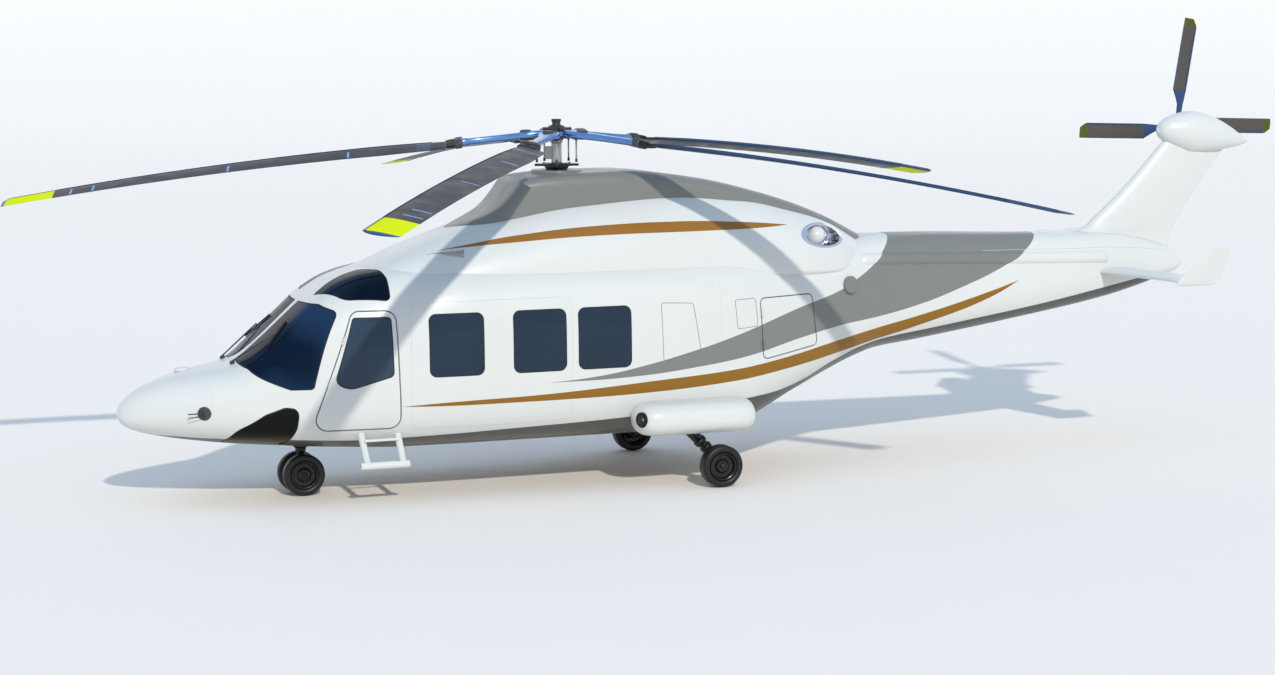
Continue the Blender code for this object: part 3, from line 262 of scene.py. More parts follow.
# Lines on the body's side, as (x, z), the closed ones with a radius at each corner
BLANK_PANEL = [(0.798, 1.507, 0.03), (1.169, 1.490, 0.03), (1.251, 0.975, 0.03), (0.818, 0.866, 0.03)]
SMALL_HATCH = [(1.669, 1.500, 0.03), (1.926, 1.506, 0.03), (1.953, 1.198, 0.03), (1.695, 1.182, 0.03)]
# The cowling's foot line and the boom line are pale lines of painted shade along creases
COWL_FOOT_LINE = [
    (-1.644, 1.962), (-0.897, 1.953), (0.199, 1.914), (0.767, 1.900), (1.762, 1.873), (2.347, 1.852),
    (2.907, 1.884), (3.257, 1.903),
]
BOOM_LINE = [
    (5.080, 1.855), (5.584, 1.847), (6.252, 1.829), (6.809, 1.826), (7.292, 1.797), (7.618, 1.749),
]
RAIL_TOP = [(3.459, 1.899), (5.313, 1.830), (6.788, 1.791)]
RAIL_FOOT = [(3.451, 1.768), (5.295, 1.694), (6.776, 1.639)]
RAIL_DEPTH = 0.036


# Shape tools
class Surface:
    """A body of superellipse sections along x, from a table of its main sizes."""

    def __init__(self, table):
        rows = np.array(table, float)
        self.x, self.columns = rows[:, 0], rows[:, 1:]
        span = np.diff(self.x)[:, None]
        rate = np.diff(self.columns, axis=0) / span
        before, after, a, b = span[:-1], span[1:], rate[:-1], rate[1:]
        with np.errstate(divide="ignore", invalid="ignore"):
            mean = 3 * (before + after) / ((2 * after + before) / a + (after + 2 * before) / b)
        self.slopes = np.vstack([rate[:1], np.where(a * b > 0, mean, 0.0), rate[-1:]])

    def sizes(self, x):
        """Top, bottom, mid, width, upper and lower at each x, on curves with no overshoot."""
        x = np.clip(np.atleast_1d(np.asarray(x, float)), self.x[0], self.x[-1])
        i = np.clip(np.searchsorted(self.x, x, side="right") - 1, 0, len(self.x) - 2)
        span = (self.x[i + 1] - self.x[i])[:, None]
        t = (x - self.x[i])[:, None] / span
        start, rise = self.columns[i], self.columns[i + 1] - self.columns[i]
        a, b = self.slopes[i] * span, self.slopes[i + 1] * span
        return (start + t * (a + t * (3 * rise - 2 * a - b + t * (a + b - 2 * rise)))).T

    def ring(self, x, count=ROUND_POINTS, grow=0.0):
        """A closed section at x, its points evenly spaced round it."""
        top, bottom, mid, width, upper, lower = self.sizes(x)[:, 0]
        angle = np.linspace(-math.pi / 2, 1.5 * math.pi, 2881)
        c, s = np.cos(angle), np.sin(angle)
        height = np.where(s > 0, top - mid, mid - bottom) + grow
        power = 2 / np.where(s > 0, upper, lower)
        y = (width + grow) * np.copysign(np.abs(c) ** power, c)
        z = mid + height * np.copysign(np.abs(s) ** power, s)
        run = np.concatenate([[0], np.cumsum(np.hypot(np.diff(y), np.diff(z)))])
        want = np.linspace(0, run[-1], count + 1)[:-1]
        return np.stack([np.full(count, x), np.interp(want, run, y), np.interp(want, run, z)], 1)

    def rings(self, start, end, step=STATION_STEP, count=ROUND_POINTS, grow=0.0):
        """Sections from start to end, closer together where the body ends."""
        xs, x = [], start
        while x < end - step * 0.3:
            xs.append(x)
            near_end = min(x - self.x[0], self.x[-1] - x)
            x += min(step, max(0.012, near_end * 0.25))
        return [self.ring(x, count, grow) for x in xs + [end]]

    def whole(self, step=STATION_STEP, count=ROUND_POINTS, grow=0.0):
        return self.rings(self.x[0], self.x[-1], step, count, grow)

    def half(self, x, z):
        """Mid, width, height and roundness of the half, upper or lower, that z lies in."""
        top, bottom, mid, width, upper, lower = self.sizes(x)
        over = z > mid
        return mid, width, np.where(over, top - mid, mid - bottom), np.where(over, upper, lower)

    def level(self, x, y, z):
        mid, width, height, power = self.half(x, z)
        return (np.abs(y) / width) ** power + (np.abs(z - mid) / height) ** power

    def normals(self, points):
        """The surface's outward direction at points on or near it."""
        x, y, z = np.asarray(points, float).T
        h = 0.0005
        slope = np.stack([
            self.level(x + h, y, z) - self.level(x - h, y, z),
            self.level(x, y + h, z) - self.level(x, y - h, z),
            self.level(x, y, z + h) - self.level(x, y, z - h),
        ], 1)
        return slope / np.maximum(np.linalg.norm(slope, axis=1), 1e-12)[:, None]

    def out(self, x, z):
        """How far out the surface is at points of its side view."""
        mid, width, height, power = self.half(x, z)
        share = np.clip(np.abs(z - mid) / height, 0, 1)
        return width * (1 - share ** power) ** (1 / power)


body, cowl, pylon = Surface(BODY), Surface(COWL), Surface(PYLON)
tail_pod, sponson_shape = Surface(TAIL_POD), Surface(SPONSON)


def placed(name, data):
    """A new object of the scene."""
    made = bpy.data.objects.new(name, data)
    bpy.context.scene.collection.objects.link(made)
    return made


def evaluated(target):
    """The object's mesh with its modifiers applied."""
    return bpy.data.meshes.new_from_object(target.evaluated_get(bpy.context.evaluated_depsgraph_get()))


def shade(target, angle):
    """Smooth shading up to an angle in degrees."""
    target.data.shade_smooth()
    target.data.set_sharp_from_angle(angle=math.radians(angle))
    return target


def mesh_object(name, points, faces, material=None, smooth=30):
    """An object with outward faces, shaded smooth up to an angle in degrees."""
    mesh = bpy.data.meshes.new(name)
    mesh.from_pydata([tuple(point) for point in points], [], faces)
    work = bmesh.new()
    work.from_mesh(mesh)
    bmesh.ops.recalc_face_normals(work, faces=work.faces)
    work.to_mesh(mesh)
    work.free()
    if material:
        mesh.materials.append(material)
    return shade(placed(name, mesh), smooth)


def loft(name, rings, material=None, smooth=30, wrap=False):
    """A closed skin over equal rings; wrap joins the last ring to the first."""
    count = len(rings[0])
    points = [point for ring in rings for point in ring]
    faces = []
    for i in range(len(rings) if wrap else len(rings) - 1):
        here, there = i * count, (i + 1) % len(rings) * count
        for k in range(count):
            after = (k + 1) % count
            faces.append((here + k, here + after, there + after, there + k))
    if not wrap:
        faces.append(tuple(range(count - 1, -1, -1)))
        faces.append(tuple(range((len(rings) - 1) * count, len(rings) * count)))
    return mesh_object(name, points, faces, material, smooth)


def wall(name, surface, start, end, top, depth, material=None, step=STATION_STEP):
    """A stretch of a body's wall between two depths, open at both ends."""
    outer = surface.rings(start, end, step, grow=-top)
    inner = surface.rings(start, end, step, grow=-depth)
    return loft(name, outer + inner[::-1], material, wrap=True)


def boolean(target, *steps):
    """Cuts, keeps or adds each tool in turn, then removes the tools."""
    for operation, tool in steps:
        step = target.modifiers.new(tool.name, "BOOLEAN")
        step.operation = operation
        step.solver = "EXACT"
        step.object = tool
    shape = evaluated(target)
    target.modifiers.clear()
    target.data = shape
    for _, tool in steps:
        bpy.data.objects.remove(tool)
    return target


def cut(target, *tools):
    return boolean(target, *[("DIFFERENCE", tool) for tool in tools])


def keep(target, tool):
    return boolean(target, ("INTERSECT", tool))


def add(target, *tools):
    return boolean(target, *[("UNION", tool) for tool in tools])


def envelope(surface, start, end):
    """A body's outside, slightly grown, to cut away what a piece has inside it."""
    return loft("envelope", surface.rings(start, end, grow=FIT))


def follow(target, surface, within=0.80):
    """Shades the faces that lie along a body with the body's own normals."""
    mesh = target.data
    points = np.array([tuple(v.co) for v in mesh.vertices])
    true = surface.normals(points)
    normals = np.zeros((len(mesh.loops), 3))
    for face in mesh.polygons:
        flat = np.array(face.normal)
        for loop in face.loop_indices:
            there = true[mesh.loops[loop].vertex_index]
            along = float(there @ flat)
            normals[loop] = there if along > within else -there if along < -within else flat
    mesh.shade_smooth()
    mesh.normals_split_custom_set([tuple(n) for n in normals])
    return target


def rounded(corners, steps=CORNER_STEPS):
    """An outline with an arc at each corner."""
    outline = []
    for i, (u, v, radius) in enumerate(corners):
        here = Vector((u, v))
        before = Vector(corners[i - 1][:2]) - here
        after = Vector(corners[(i + 1) % len(corners)][:2]) - here
        half = before.angle(after) / 2
        reach = min(radius / math.tan(half), before.length * 0.45, after.length * 0.45)
        radius = reach * math.tan(half)
        middle = here + (before.normalized() + after.normalized()).normalized() * radius / math.sin(half)
        first = here + before.normalized() * reach - middle
        last = here + after.normalized() * reach - middle
        turn = first.angle_signed(last)
        for k in range(steps + 1):
            outline.append(middle + Matrix.Rotation(-turn * k / steps, 2) @ first)
    return outline


def inset(outline, distance):
    """The outline moved inward by a distance."""
    area = sum(a.x * b.y - b.x * a.y for a, b in zip(outline, outline[1:] + outline[:1]))
    turn = 1 if area > 0 else -1
    moved = []
    for i, here in enumerate(outline):
        before = (here - outline[i - 1]).normalized()
        after = (outline[(i + 1) % len(outline)] - here).normalized()
        inward = (Vector((-before.y, before.x)) + Vector((-after.y, after.x))).normalized() * turn
        spread = max(inward.dot(Vector((-after.y, after.x)) * turn), 0.5)
        moved.append(here + inward * distance / spread)
    return moved


def corners_of(box):
    front, rear, low, high, radius = box
    return [(front, high, radius), (rear, high, radius), (rear, low, radius), (front, low, radius)]


def view_axes(view, side):
    """The across, up and outward directions of a view of one side."""
    r = math.sqrt(0.5)
    return {
        "side": (Vector((1, 0, 0)), Vector((0, 0, 1)), Vector((0, side, 0))),
        "quarter": (Vector((r, side * r, 0)), Vector((0, 0, 1)), Vector((-r, side * r, 0))),
        "roof": (Vector((1, 0, 0)), Vector((0, -side * r, r)), Vector((0, side * r, r))),
        "chin": (Vector((1, 0, 0)), Vector((0, side * r, r)), Vector((0, side * r, -r))),
    }[view]


def slab_faces(count):
    """The faces between two equal outlines of points, with both ends."""
    faces = [tuple(range(count)), tuple(range(2 * count - 1, count - 1, -1))]
    return faces + [(k, (k + 1) % count, count + (k + 1) % count, count + k) for k in range(count)]


def prism(name, outline, view, side, near, far, material=None):
    """An outline of a view, extruded from near to far along its outward direction."""
    across, up, out = view_axes(view, side)
    points = [across * p.x + up * p.y + out * depth for depth in (near, far) for p in outline]
    return mesh_object(name, points, slab_faces(len(outline)), material)


def box(name, low, high, material=None, bevel=0.0, steps=2):
    """A block with rounded edges."""
    (x0, y0, z0), (x1, y1, z1) = low, high
    points = [(x, y, z) for z in (z0, z1) for x, y in ((x0, y0), (x1, y0), (x1, y1), (x0, y1))]
    faces = [(3, 2, 1, 0), (4, 5, 6, 7), (0, 1, 5, 4), (1, 2, 6, 5), (2, 3, 7, 6), (3, 0, 4, 7)]
    made = mesh_object(name, points, faces, material)
    return soften(made, bevel, steps) if bevel else made


def soften(target, width, steps=2, angle=30):
    """Rounds the sharp edges and keeps flat faces flat."""
    step = target.modifiers.new("soften", "BEVEL")
    step.width = width
    step.segments = steps
    step.limit_method = "ANGLE"
    step.angle_limit = math.radians(angle)
    step.harden_normals = True
    return target


def turned(name, profile, axis, centre, steps, material=None, closed=False, smooth=30, wide=None):
    """A turned shape: profile is (distance along the axis, radius); closed makes a ring.

    Wide makes it an oval, that many times as wide as it is high.
    """
    along = Vector(axis).normalized()
    first = (along.cross(Vector(UP)) if wide else along.orthogonal()).normalized()
    second = along.cross(first)
    first = first * (wide or 1)
    centre = Vector(centre)
    rings = []
    for distance, radius in profile:
        ring = []
        for k in range(steps):
            angle = 2 * math.pi * k / steps
            outward = first * math.cos(angle) + second * math.sin(angle)
            ring.append(centre + along * distance + outward * radius)
        rings.append(ring)
    return loft(name, rings, material, smooth, wrap=closed)


def upright(name, profile, steps, look, x=0.0, closed=False):
    """A shape turned round an upright line in the middle plane: profile is (height, radius)."""
    return turned(name, profile, UP, (x, 0, 0), steps, looks[look], closed)


def rod(name, start, end, radius, material=None, steps=16):
    """A round bar with softened ends."""
    start, end = Vector(start), Vector(end)
    length, lip = (end - start).length, radius * 0.12
    profile = [(0, radius - lip), (lip, radius), (length - lip, radius), (length, radius - lip)]
    return turned(name, profile, end - start, start, steps, material, smooth=50)


def join(name, pieces, material=None):
    """Several pieces as one object."""
    graph = bpy.context.evaluated_depsgraph_get()
    work = bmesh.new()
    materials = []
    for piece in pieces:
        shape = bpy.data.meshes.new_from_object(piece.evaluated_get(graph))
        shape.transform(piece.matrix_world)
        place = []
        for used in shape.materials:
            if used not in materials:
                materials.append(used)
            place.append(materials.index(used))
        start = len(work.faces)
        work.from_mesh(shape)
        work.faces.ensure_lookup_table()
        for face in work.faces[start:]:
            face.material_index = place[face.material_index] if place else 0
        bpy.data.objects.remove(piece)
    mesh = bpy.data.meshes.new(name)
    work.to_mesh(mesh)
    work.free()
    for used in materials:
        mesh.materials.append(used)
    if material:
        mesh.materials.append(material)
    return placed(name, mesh)


def finish_piece(piece, rides, slot, *nodes):
    """Says which body a piece rides on and the nodes that it stands for, which it hides; slot, its finish, is
    not used.
    """
    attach(piece, rides)
    if nodes:
        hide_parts(*nodes)
    return piece


# Materials
class Nodes:
    """Makes and joins the nodes of a tree, which read the places of one kind of coordinates."""

    def __init__(self, tree, places):
        self.tree = tree
        self.place = tree.nodes.new("ShaderNodeTexCoord").outputs[places]

    def node(self, kind, **settings):
        made = self.tree.nodes.new(kind)
        for key, value in settings.items():
            setattr(made, key, value)
        return made

    def put(self, value, socket):
        """Gives a socket a number, a colour or another node's output."""
        if isinstance(value, tuple):
            socket.default_value = (*value, 1.0)
        elif isinstance(value, (int, float)):
            socket.default_value = value
        else:
            self.tree.links.new(value, socket)

    def math(self, operation, *values):
        made = self.node("ShaderNodeMath", operation=operation)
        for value, socket in zip(values, made.inputs):
            self.put(value, socket)
        return made.outputs[0]

    def axes(self):
        split = self.node("ShaderNodeSeparateXYZ")
        self.put(self.place, split.inputs[0])
        return split.outputs

    def noise(self, scale, detail):
        made = self.node("ShaderNodeTexNoise")
        for key, value in (("Scale", scale), ("Detail", detail), ("Vector", self.place)):
            self.put(value, made.inputs[key])
        return made.outputs["Fac"]

    def span(self, value, low, high, to_low=0.0, to_high=1.0):
        """The value, carried from one range to another."""
        made = self.node("ShaderNodeMapRange")
        keys = ("Value", "From Min", "From Max", "To Min", "To Max")
        for key, number in zip(keys, (value, low, high, to_low, to_high)):
            self.put(number, made.inputs[key])
        return made.outputs[0]

    def edge(self, x, points):
        """The height of a stripe's edge at x, on a smooth curve through its points."""
        x0, x1 = points[0][0], points[-1][0]
        low, high = min(z for _, z in points), max(z for _, z in points)
        curve = self.node("ShaderNodeFloatCurve")
        line = curve.mapping.curves[0]
        places = [((px - x0) / (x1 - x0), (pz - low) / (high - low)) for px, pz in points]
        line.points[0].location = places[0]
        line.points[1].location = places[-1]
        for place in places[1:-1]:
            line.points.new(*place)
        curve.mapping.update()
        self.put(self.span(x, x0, x1), curve.inputs["Value"])
        return self.span(curve.outputs[0], 0, 1, low, high)

    def between(self, x, z, lower, upper):
        """1 between a stripe's lower and upper edges, 0 elsewhere."""
        under = self.math("LESS_THAN", z, self.edge(x, upper))
        over = self.math("GREATER_THAN", z, self.edge(x, lower))
        after_start = self.math("GREATER_THAN", x, lower[0][0])
        before_end = self.math("LESS_THAN", x, lower[-1][0])
        inside = self.math("MULTIPLY", after_start, before_end)
        return self.math("MULTIPLY", self.math("MULTIPLY", under, over), inside)

    def mix(self, share, first, second, blend="MIX"):
        """First where share is 0; where it is 1, second, or first blended with second."""
        made = self.node("ShaderNodeMix", data_type="RGBA", blend_type=blend)
        colours = [socket for socket in made.inputs if socket.type == "RGBA"]
        factor = next(s for s in made.inputs if s.name == "Factor" and s.type == "VALUE")
        for value, socket in ((first, colours[0]), (second, colours[1]), (share, factor)):
            self.put(value, socket)
        return next(socket for socket in made.outputs if socket.type == "RGBA")


class Look(Nodes):
    """A Principled material whose colour, roughness and bump come from its own nodes."""

    def __init__(self, name, roughness=0.4, metallic=0.0, coat=0.0, alpha=1.0, specular=0.5):
        self.material = bpy.data.materials.new(name)
        self.material.use_nodes = True
        super().__init__(self.material.node_tree, "Object")
        self.shader = self.tree.nodes["Principled BSDF"]
        settings = {
            "Metallic": metallic, "Roughness": roughness, "Alpha": alpha, "Specular IOR Level": specular,
            "Coat Weight": coat, "Coat Roughness": COAT_ROUGHNESS,
        }
        for key, value in settings.items():
            self.put(value, self.shader.inputs[key])

    def shade(self, colour, noise, amount):
        """The colour made a little darker where the noise is high."""
        return self.mix(self.span(noise, 0.35, 0.75, 0, amount), colour, DIRT, "MULTIPLY")

    def colour(self, value):
        self.put(value, self.shader.inputs["Base Color"])

    def rough(self, noise, low, high):
        self.put(self.span(noise, 0.3, 0.7, low, high), self.shader.inputs["Roughness"])

    def bump(self, height, strength, distance):
        made = self.node("ShaderNodeBump")
        for key, value in (("Strength", strength), ("Distance", distance), ("Height", height)):
            self.put(value, made.inputs[key])
        self.put(made.outputs[0], self.shader.inputs["Normal"])


DIRT = (0.45, 0.43, 0.40)
COAT_ROUGHNESS = 0.05
BELLY_END = 7.5
WHITE = (0.66, 0.67, 0.645)
GREY = (0.192, 0.197, 0.184)
# The belly has the swoosh's grey paint; this darker grey adds painted shade on the underside
BELLY_GREY_WITH_PAINTED_SHADE = (0.080, 0.083, 0.080)
GOLD = (0.250, 0.112, 0.003)
COWL_GOLD = (0.280, 0.124, 0.014)


def enamel(name, paint_over=None):
    """White, even, glossy paint, with a trace of dust, a slight wave and what is painted over it."""
    look = Look(name, coat=0.12, specular=0.35)
    colour = paint_over(look) if paint_over else WHITE
    look.colour(look.shade(colour, look.noise(1.3, 5.0), 0.03))
    look.rough(look.noise(2.7, 4.0), 0.28, 0.36)
    look.bump(look.noise(14.0, 1.0), 0.02, 0.0006)
    return look.material


def body_stripes(look):
    """A grey swoosh, a gold stripe and a grey belly over the white; the belly's grey is darker than the
    swoosh's, as painted shade on the underside.
    """
    x, _, z = look.axes()
    colour = look.mix(look.between(x, z, GREY_LOWER_EDGE, GREY_UPPER_EDGE), WHITE, GREY)
    colour = look.mix(look.between(x, z, GOLD_LOWER_EDGE, GOLD_UPPER_EDGE), colour, GOLD)
    # The grey belly, darker than its paint as painted shade
    below = look.math("LESS_THAN", z, look.edge(x, BELLY_EDGE))
    ahead = look.math("LESS_THAN", x, BELLY_END)
    return look.mix(look.math("MULTIPLY", below, ahead), colour, BELLY_GREY_WITH_PAINTED_SHADE)


def cowl_stripe(look):
    x, _, z = look.axes()
    return look.mix(look.between(x, z, COWL_GOLD_LOWER_EDGE, COWL_GOLD_UPPER_EDGE), WHITE, COWL_GOLD)


def paint(name, colour, low, high, coat=0.1, metallic=0.0, grain=90.0, grime=0.12, depth=0.0003,
          specular=0.35):
    """Painted surface with slight dirt, uneven gloss from low to high and a fine grain."""
    look = Look(name, coat=coat, metallic=metallic, specular=specular)
    look.colour(look.shade(colour, look.noise(2.1, 5.0), grime))
    look.rough(look.noise(5.0, 4.0), low, high)
    look.bump(look.noise(grain, 1.5), 0.03, depth)
    return look.material


def glass_look(name, colour, alpha, specular, painted_reflection=None, foot=None):
    """Dark tinted pane that lets the cabin show dimly.

    A second, bluer colour in soft patches is a painted reflection of the sky, and foot tints it below a
    height.
    """
    look = Look(name, roughness=0.03, alpha=alpha, specular=specular)
    glass_colour = look.shade(colour, look.noise(1.7, 2.0), 0.25)
    # Painted reflection: soft patches of a bluer colour stand in for the sky's reflection
    if painted_reflection:
        glass_colour = look.mix(look.span(look.noise(1.1, 1.0), 0.42, 0.66), glass_colour, painted_reflection)
    if foot:
        height, low_colour = foot
        _, _, z = look.axes()
        glass_colour = look.mix(look.span(z, height + 0.03, height - 0.03), glass_colour, low_colour)
    look.colour(glass_colour)
    look.rough(look.noise(3.0, 3.0), 0.02, 0.05)
    return look.material


WEAVE_PERIOD = 0.004
WEAVE_SHEEN = 0.35


def fabric(name, colour):
    """Woven seat cover with a soft sheen."""
    look = Look(name, roughness=0.9, specular=0.15)
    look.put(WEAVE_SHEEN, look.shader.inputs["Sheen Weight"])
    turns = 2 * math.pi / WEAVE_PERIOD
    ribs = [look.math("SINE", look.math("MULTIPLY", axis, turns)) for axis in look.axes()]
    first, second = look.math("MULTIPLY", ribs[0], ribs[1]), look.math("MULTIPLY", ribs[1], ribs[2])
    look.colour(look.shade(colour, look.noise(7.0, 4.0), 0.35))
    look.rough(look.noise(40.0, 3.0), 0.82, 0.95)
    look.bump(look.math("ADD", first, second), 0.25, 0.0008)
    return look.material


def make_looks():
    return {
        "body": enamel("body_paint", body_stripes),
        "cowl": enamel("cowl_paint", cowl_stripe),
        "white": enamel("white_paint"),
        "grey": paint("grey_paint", GREY, 0.30, 0.40, grain=14.0, grime=0.04),
        "glass": glass_look("cabin_glass", (0.018, 0.036, 0.064), 0.82, 0.28),
        "crew_glass": glass_look("crew_window_glass", (0.036, 0.064, 0.104), 0.82, 0.28),
        # The windshields and roof windows have soft patches of painted sky reflection
        "windshield": glass_look("windshield_glass", (0.004, 0.012, 0.030), 0.93, 0.03,
                                 painted_reflection=(0.016, 0.042, 0.100)),
        "roof_glass": glass_look("roof_window_glass", (0.003, 0.008, 0.018), 0.93, 0.04,
                                 painted_reflection=(0.008, 0.018, 0.040)),
        "chin_glass": glass_look("chin_glass", (0.006, 0.006, 0.006), 0.92, 0.12,
                                 foot=(0.23, (0.036, 0.040, 0.002))),
        "rubber": paint("black_rubber", (0.012, 0.012, 0.013), 0.55, 0.75, 0.0),
        "tyre": paint("tyre_rubber", (0.012, 0.012, 0.0125), 0.36, 0.50, 0.0,
                      grain=160.0, grime=0.3, depth=0.0005),
        "gear": paint("gear_black", (0.006, 0.006, 0.0065), 0.24, 0.40, 0.1),
        "rim": paint("rim_black", (0.009, 0.009, 0.010), 0.20, 0.34, 0.15),
        "mast": paint("mast_metal", (0.42, 0.43, 0.42), 0.24, 0.36, 0.0, metallic=0.55),
        "seat": fabric("seat_fabric", (0.075, 0.082, 0.095)),
        "steel": paint("bright_steel", (0.62, 0.63, 0.64), 0.16, 0.30, 0.0, metallic=1.0, grain=300.0),
        "chrome": paint("chrome", (0.80, 0.82, 0.85), 0.04, 0.10, 0.0, metallic=1.0, grime=0.05),
        # Grey rotor metal with a blue base colour, a painted reflection of the sky
        "metal_with_painted_sky_reflection": paint("metal_with_painted_sky_reflection", (0.15, 0.30, 0.62), 0.20, 0.34, 0.2, metallic=0.80),
        # Blue on the blades' metal edges, a painted reflection of the sky
        "edge_painted_sky_reflection": paint("edge_painted_sky_reflection", (0.030, 0.075, 0.190), 0.28, 0.42, 0.1, metallic=0.3),
        "band_blue": paint("band_blue", (0.012, 0.034, 0.090), 0.30, 0.45, 0.0),
        # Bright blue on the metal strips across the blades, a painted reflection of the sky
        "strip_painted_sky_reflection": paint("strip_painted_sky_reflection", (0.150, 0.360, 0.750), 0.30, 0.45, 0.0),
        "cuff": paint("cuff_grey", (0.066, 0.064, 0.060), 0.30, 0.50, 0.0, metallic=0.3),
        "blade": paint("blade_grey", (0.037, 0.039, 0.046), 0.38, 0.52, 0.0, grime=0.25, specular=0.20),
        "root": paint("blade_root_black", (0.012, 0.012, 0.014), 0.35, 0.50, 0.0),
        "yellow": paint("tip_yellow", (0.74, 0.83, 0.000), 0.45, 0.60, 0.0, grime=0.05, specular=0.02),
        "tail_blade": paint("tail_blade_grey", (0.078, 0.070, 0.062), 0.32, 0.46, 0.0, grime=0.2),
        # The tail blades' yellow tips, darkened to olive as painted shade
        "yellow_painted_shade": paint("tip_yellow_painted_shade", (0.070, 0.084, 0.006), 0.35, 0.50, 0.0),
        "brown": paint("cap_brown", (0.042, 0.030, 0.026), 0.40, 0.60, 0.0),
        "floor": paint("cabin_floor", (0.11, 0.11, 0.115), 0.55, 0.75, 0.0, grain=90.0),
        "panel": paint("panel_black", (0.014, 0.014, 0.015), 0.45, 0.65, 0.0),
        "line": paint("panel_line", (0.17, 0.17, 0.17), 0.6, 0.7, 0.0),
        # Pale grey for painted shade along the body's creases
        "crease_painted_shade": paint("crease_painted_shade", (0.47, 0.48, 0.47), 0.5, 0.6, 0.0),
        "dark_metal": paint("dark_metal", (0.060, 0.062, 0.064), 0.30, 0.45, 0.1, metallic=0.3),
        "screen": paint("screen_glass", (0.010, 0.016, 0.026), 0.05, 0.12, 0.6, grime=0.05),
        "clear": glass_look("lamp_cover", (0.10, 0.11, 0.12), 0.14, 0.5),
    }


looks = make_looks()

OPENINGS = {
    # name: corners, view, near, far, front, rear
    "windshield": (WINDSHIELD, "quarter", 1.9, 3.2, -3.80, -2.55),
    "roof_window": (ROOF_WINDOW, "roof", 1.0, 2.4, -2.95, -2.10),
    "chin_window": (CHIN_WINDOW, "chin", 0.0, 0.9, -3.98, -3.05),
    "crew_door": (CREW_DOOR, "side", 0.70, 1.3, -3.15, -2.00),
    "crew_door_window": (CREW_WINDOW, "side", 0.70, 1.3, -2.90, -2.10),
    "baggage_door": (BAGGAGE_DOOR, "side", 0.50, 1.3, 1.90, 2.90),
    "cabin_door": (corners_of(CABIN_DOOR_BOX), "side", 0.80, 1.3, -2.10, -0.15),
    "cabin_window_1": (corners_of(CABIN_WINDOW_BOXES[0]), "side", 0.80, 1.3, -1.90, -1.10),
    "cabin_window_2": (corners_of(CABIN_WINDOW_BOXES[1]), "side", 0.80, 1.3, -1.00, -0.20),
    "cabin_window_3": (corners_of(CABIN_WINDOW_BOXES[2]), "side", 0.80, 1.3, -0.26, 0.55),
}


def opening(key, side, shrink=0.0):
    corners, view, near, far, _, _ = OPENINGS[key]
    outline = rounded(corners)
    if shrink:
        outline = inset(outline, shrink)
    return prism(f"{key}_opening", outline, view, side, near, far)


# Body
def make_shells():
    shells = [
        # node, front, rear
        ("nose_fairing", BODY[0][0], NOSE_SPLIT - GAP),
        ("cabin_shell", NOSE_SPLIT + GAP, CABIN_END - GAP),
        ("rear_fuselage", CABIN_END + GAP, BOOM_START - GAP),
        ("tail_boom", BOOM_START + GAP, BODY[-1][0]),
    ]
    front, rear, low, high = BAGGAGE_BAY
    hollows = {"cabin_shell": (NOSE_SPLIT + WALL, CABIN_END - WALL), "rear_fuselage": (front, rear)}
    openings = {
        "cabin_shell": ("windshield", "roof_window", "chin_window", "crew_door", "cabin_door",
                        "cabin_window_3"),
        "rear_fuselage": ("baggage_door",),
    }
    for node, start, end in shells:
        shell = loft(f"{node}_skin", body.rings(start, end), looks["body"])
        if node in hollows:
            hollow = loft("hollow", body.rings(*hollows[node], step=0.09, count=64, grow=-WALL))
            if node == "rear_fuselage":
                keep(hollow, box("baggage_space", (front - 0.1, -1.5, low), (rear + 0.1, 1.5, high)))
            cut(shell, hollow, *[opening(key, side) for side in SIDES.values() for key in openings[node]])
        finish_piece(follow(shell, body), "airframe", "white_paint", node)


def panel(name, key, side, top, depth, shrink, look="body"):
    """A piece of the body's wall inside an opening."""
    start, end = OPENINGS[key][-2:]
    piece = wall(name, body, start, end, top, depth, looks[look], step=0.03)
    return keep(piece, opening(key, side, shrink))


def make_pane(node, key, side, glass, rides):
    """A pane and the black rubber round it."""
    pane = panel(f"{node}_glass", key, side, GLASS_SUNK, PANE, GASKET, glass)
    finish_piece(follow(pane, body), rides, "window_glass", node)
    seal = panel(f"{node}_seal", key, side, -FIT, SEAL_DEPTH, GAP, "rubber")
    cut(seal, opening(key, side, GASKET + GLASS_SUNK))
    finish_piece(follow(seal, body), rides, "panel_black")


def make_doors():
    for name, side in SIDES.items():
        door = panel(f"crew_door_{name}_skin", "crew_door", side, 0.0, DOOR_SKIN, DOOR_GAP)
        pan = panel("crew_door_pan", "crew_door", side, DOOR_SKIN / 2, WALL, PAN_INSET)
        cut(add(door, pan), opening("crew_door_window", side))
        finish_piece(follow(door, body), f"crew_door_body_{name}", "white_paint", f"crew_door_{name}")

        door = panel(f"baggage_door_{name}_skin", "baggage_door", side, 0.0, WALL, DOOR_GAP)
        finish_piece(follow(door, body), f"baggage_door_body_{name}", "white_paint", f"baggage_door_{name}")

        door = panel(f"cabin_door_{name}_skin", "cabin_door", side, 0.0, WALL, CABIN_DOOR_GAP)
        cut(door, opening("cabin_window_1", side), opening("cabin_window_2", side))
        finish_piece(follow(door, body), "airframe", "white_paint", f"cabin_door_{name}")

        for key in ("crew_door", "baggage_door"):
            seal = panel(f"{key}_{name}_frame_seal", key, side, *FRAME_SEAL, FIT, "rubber")
            cut(seal, opening(key, side, FRAME_SEAL_WIDTH))
            finish_piece(follow(seal, body), "airframe", "panel_black")


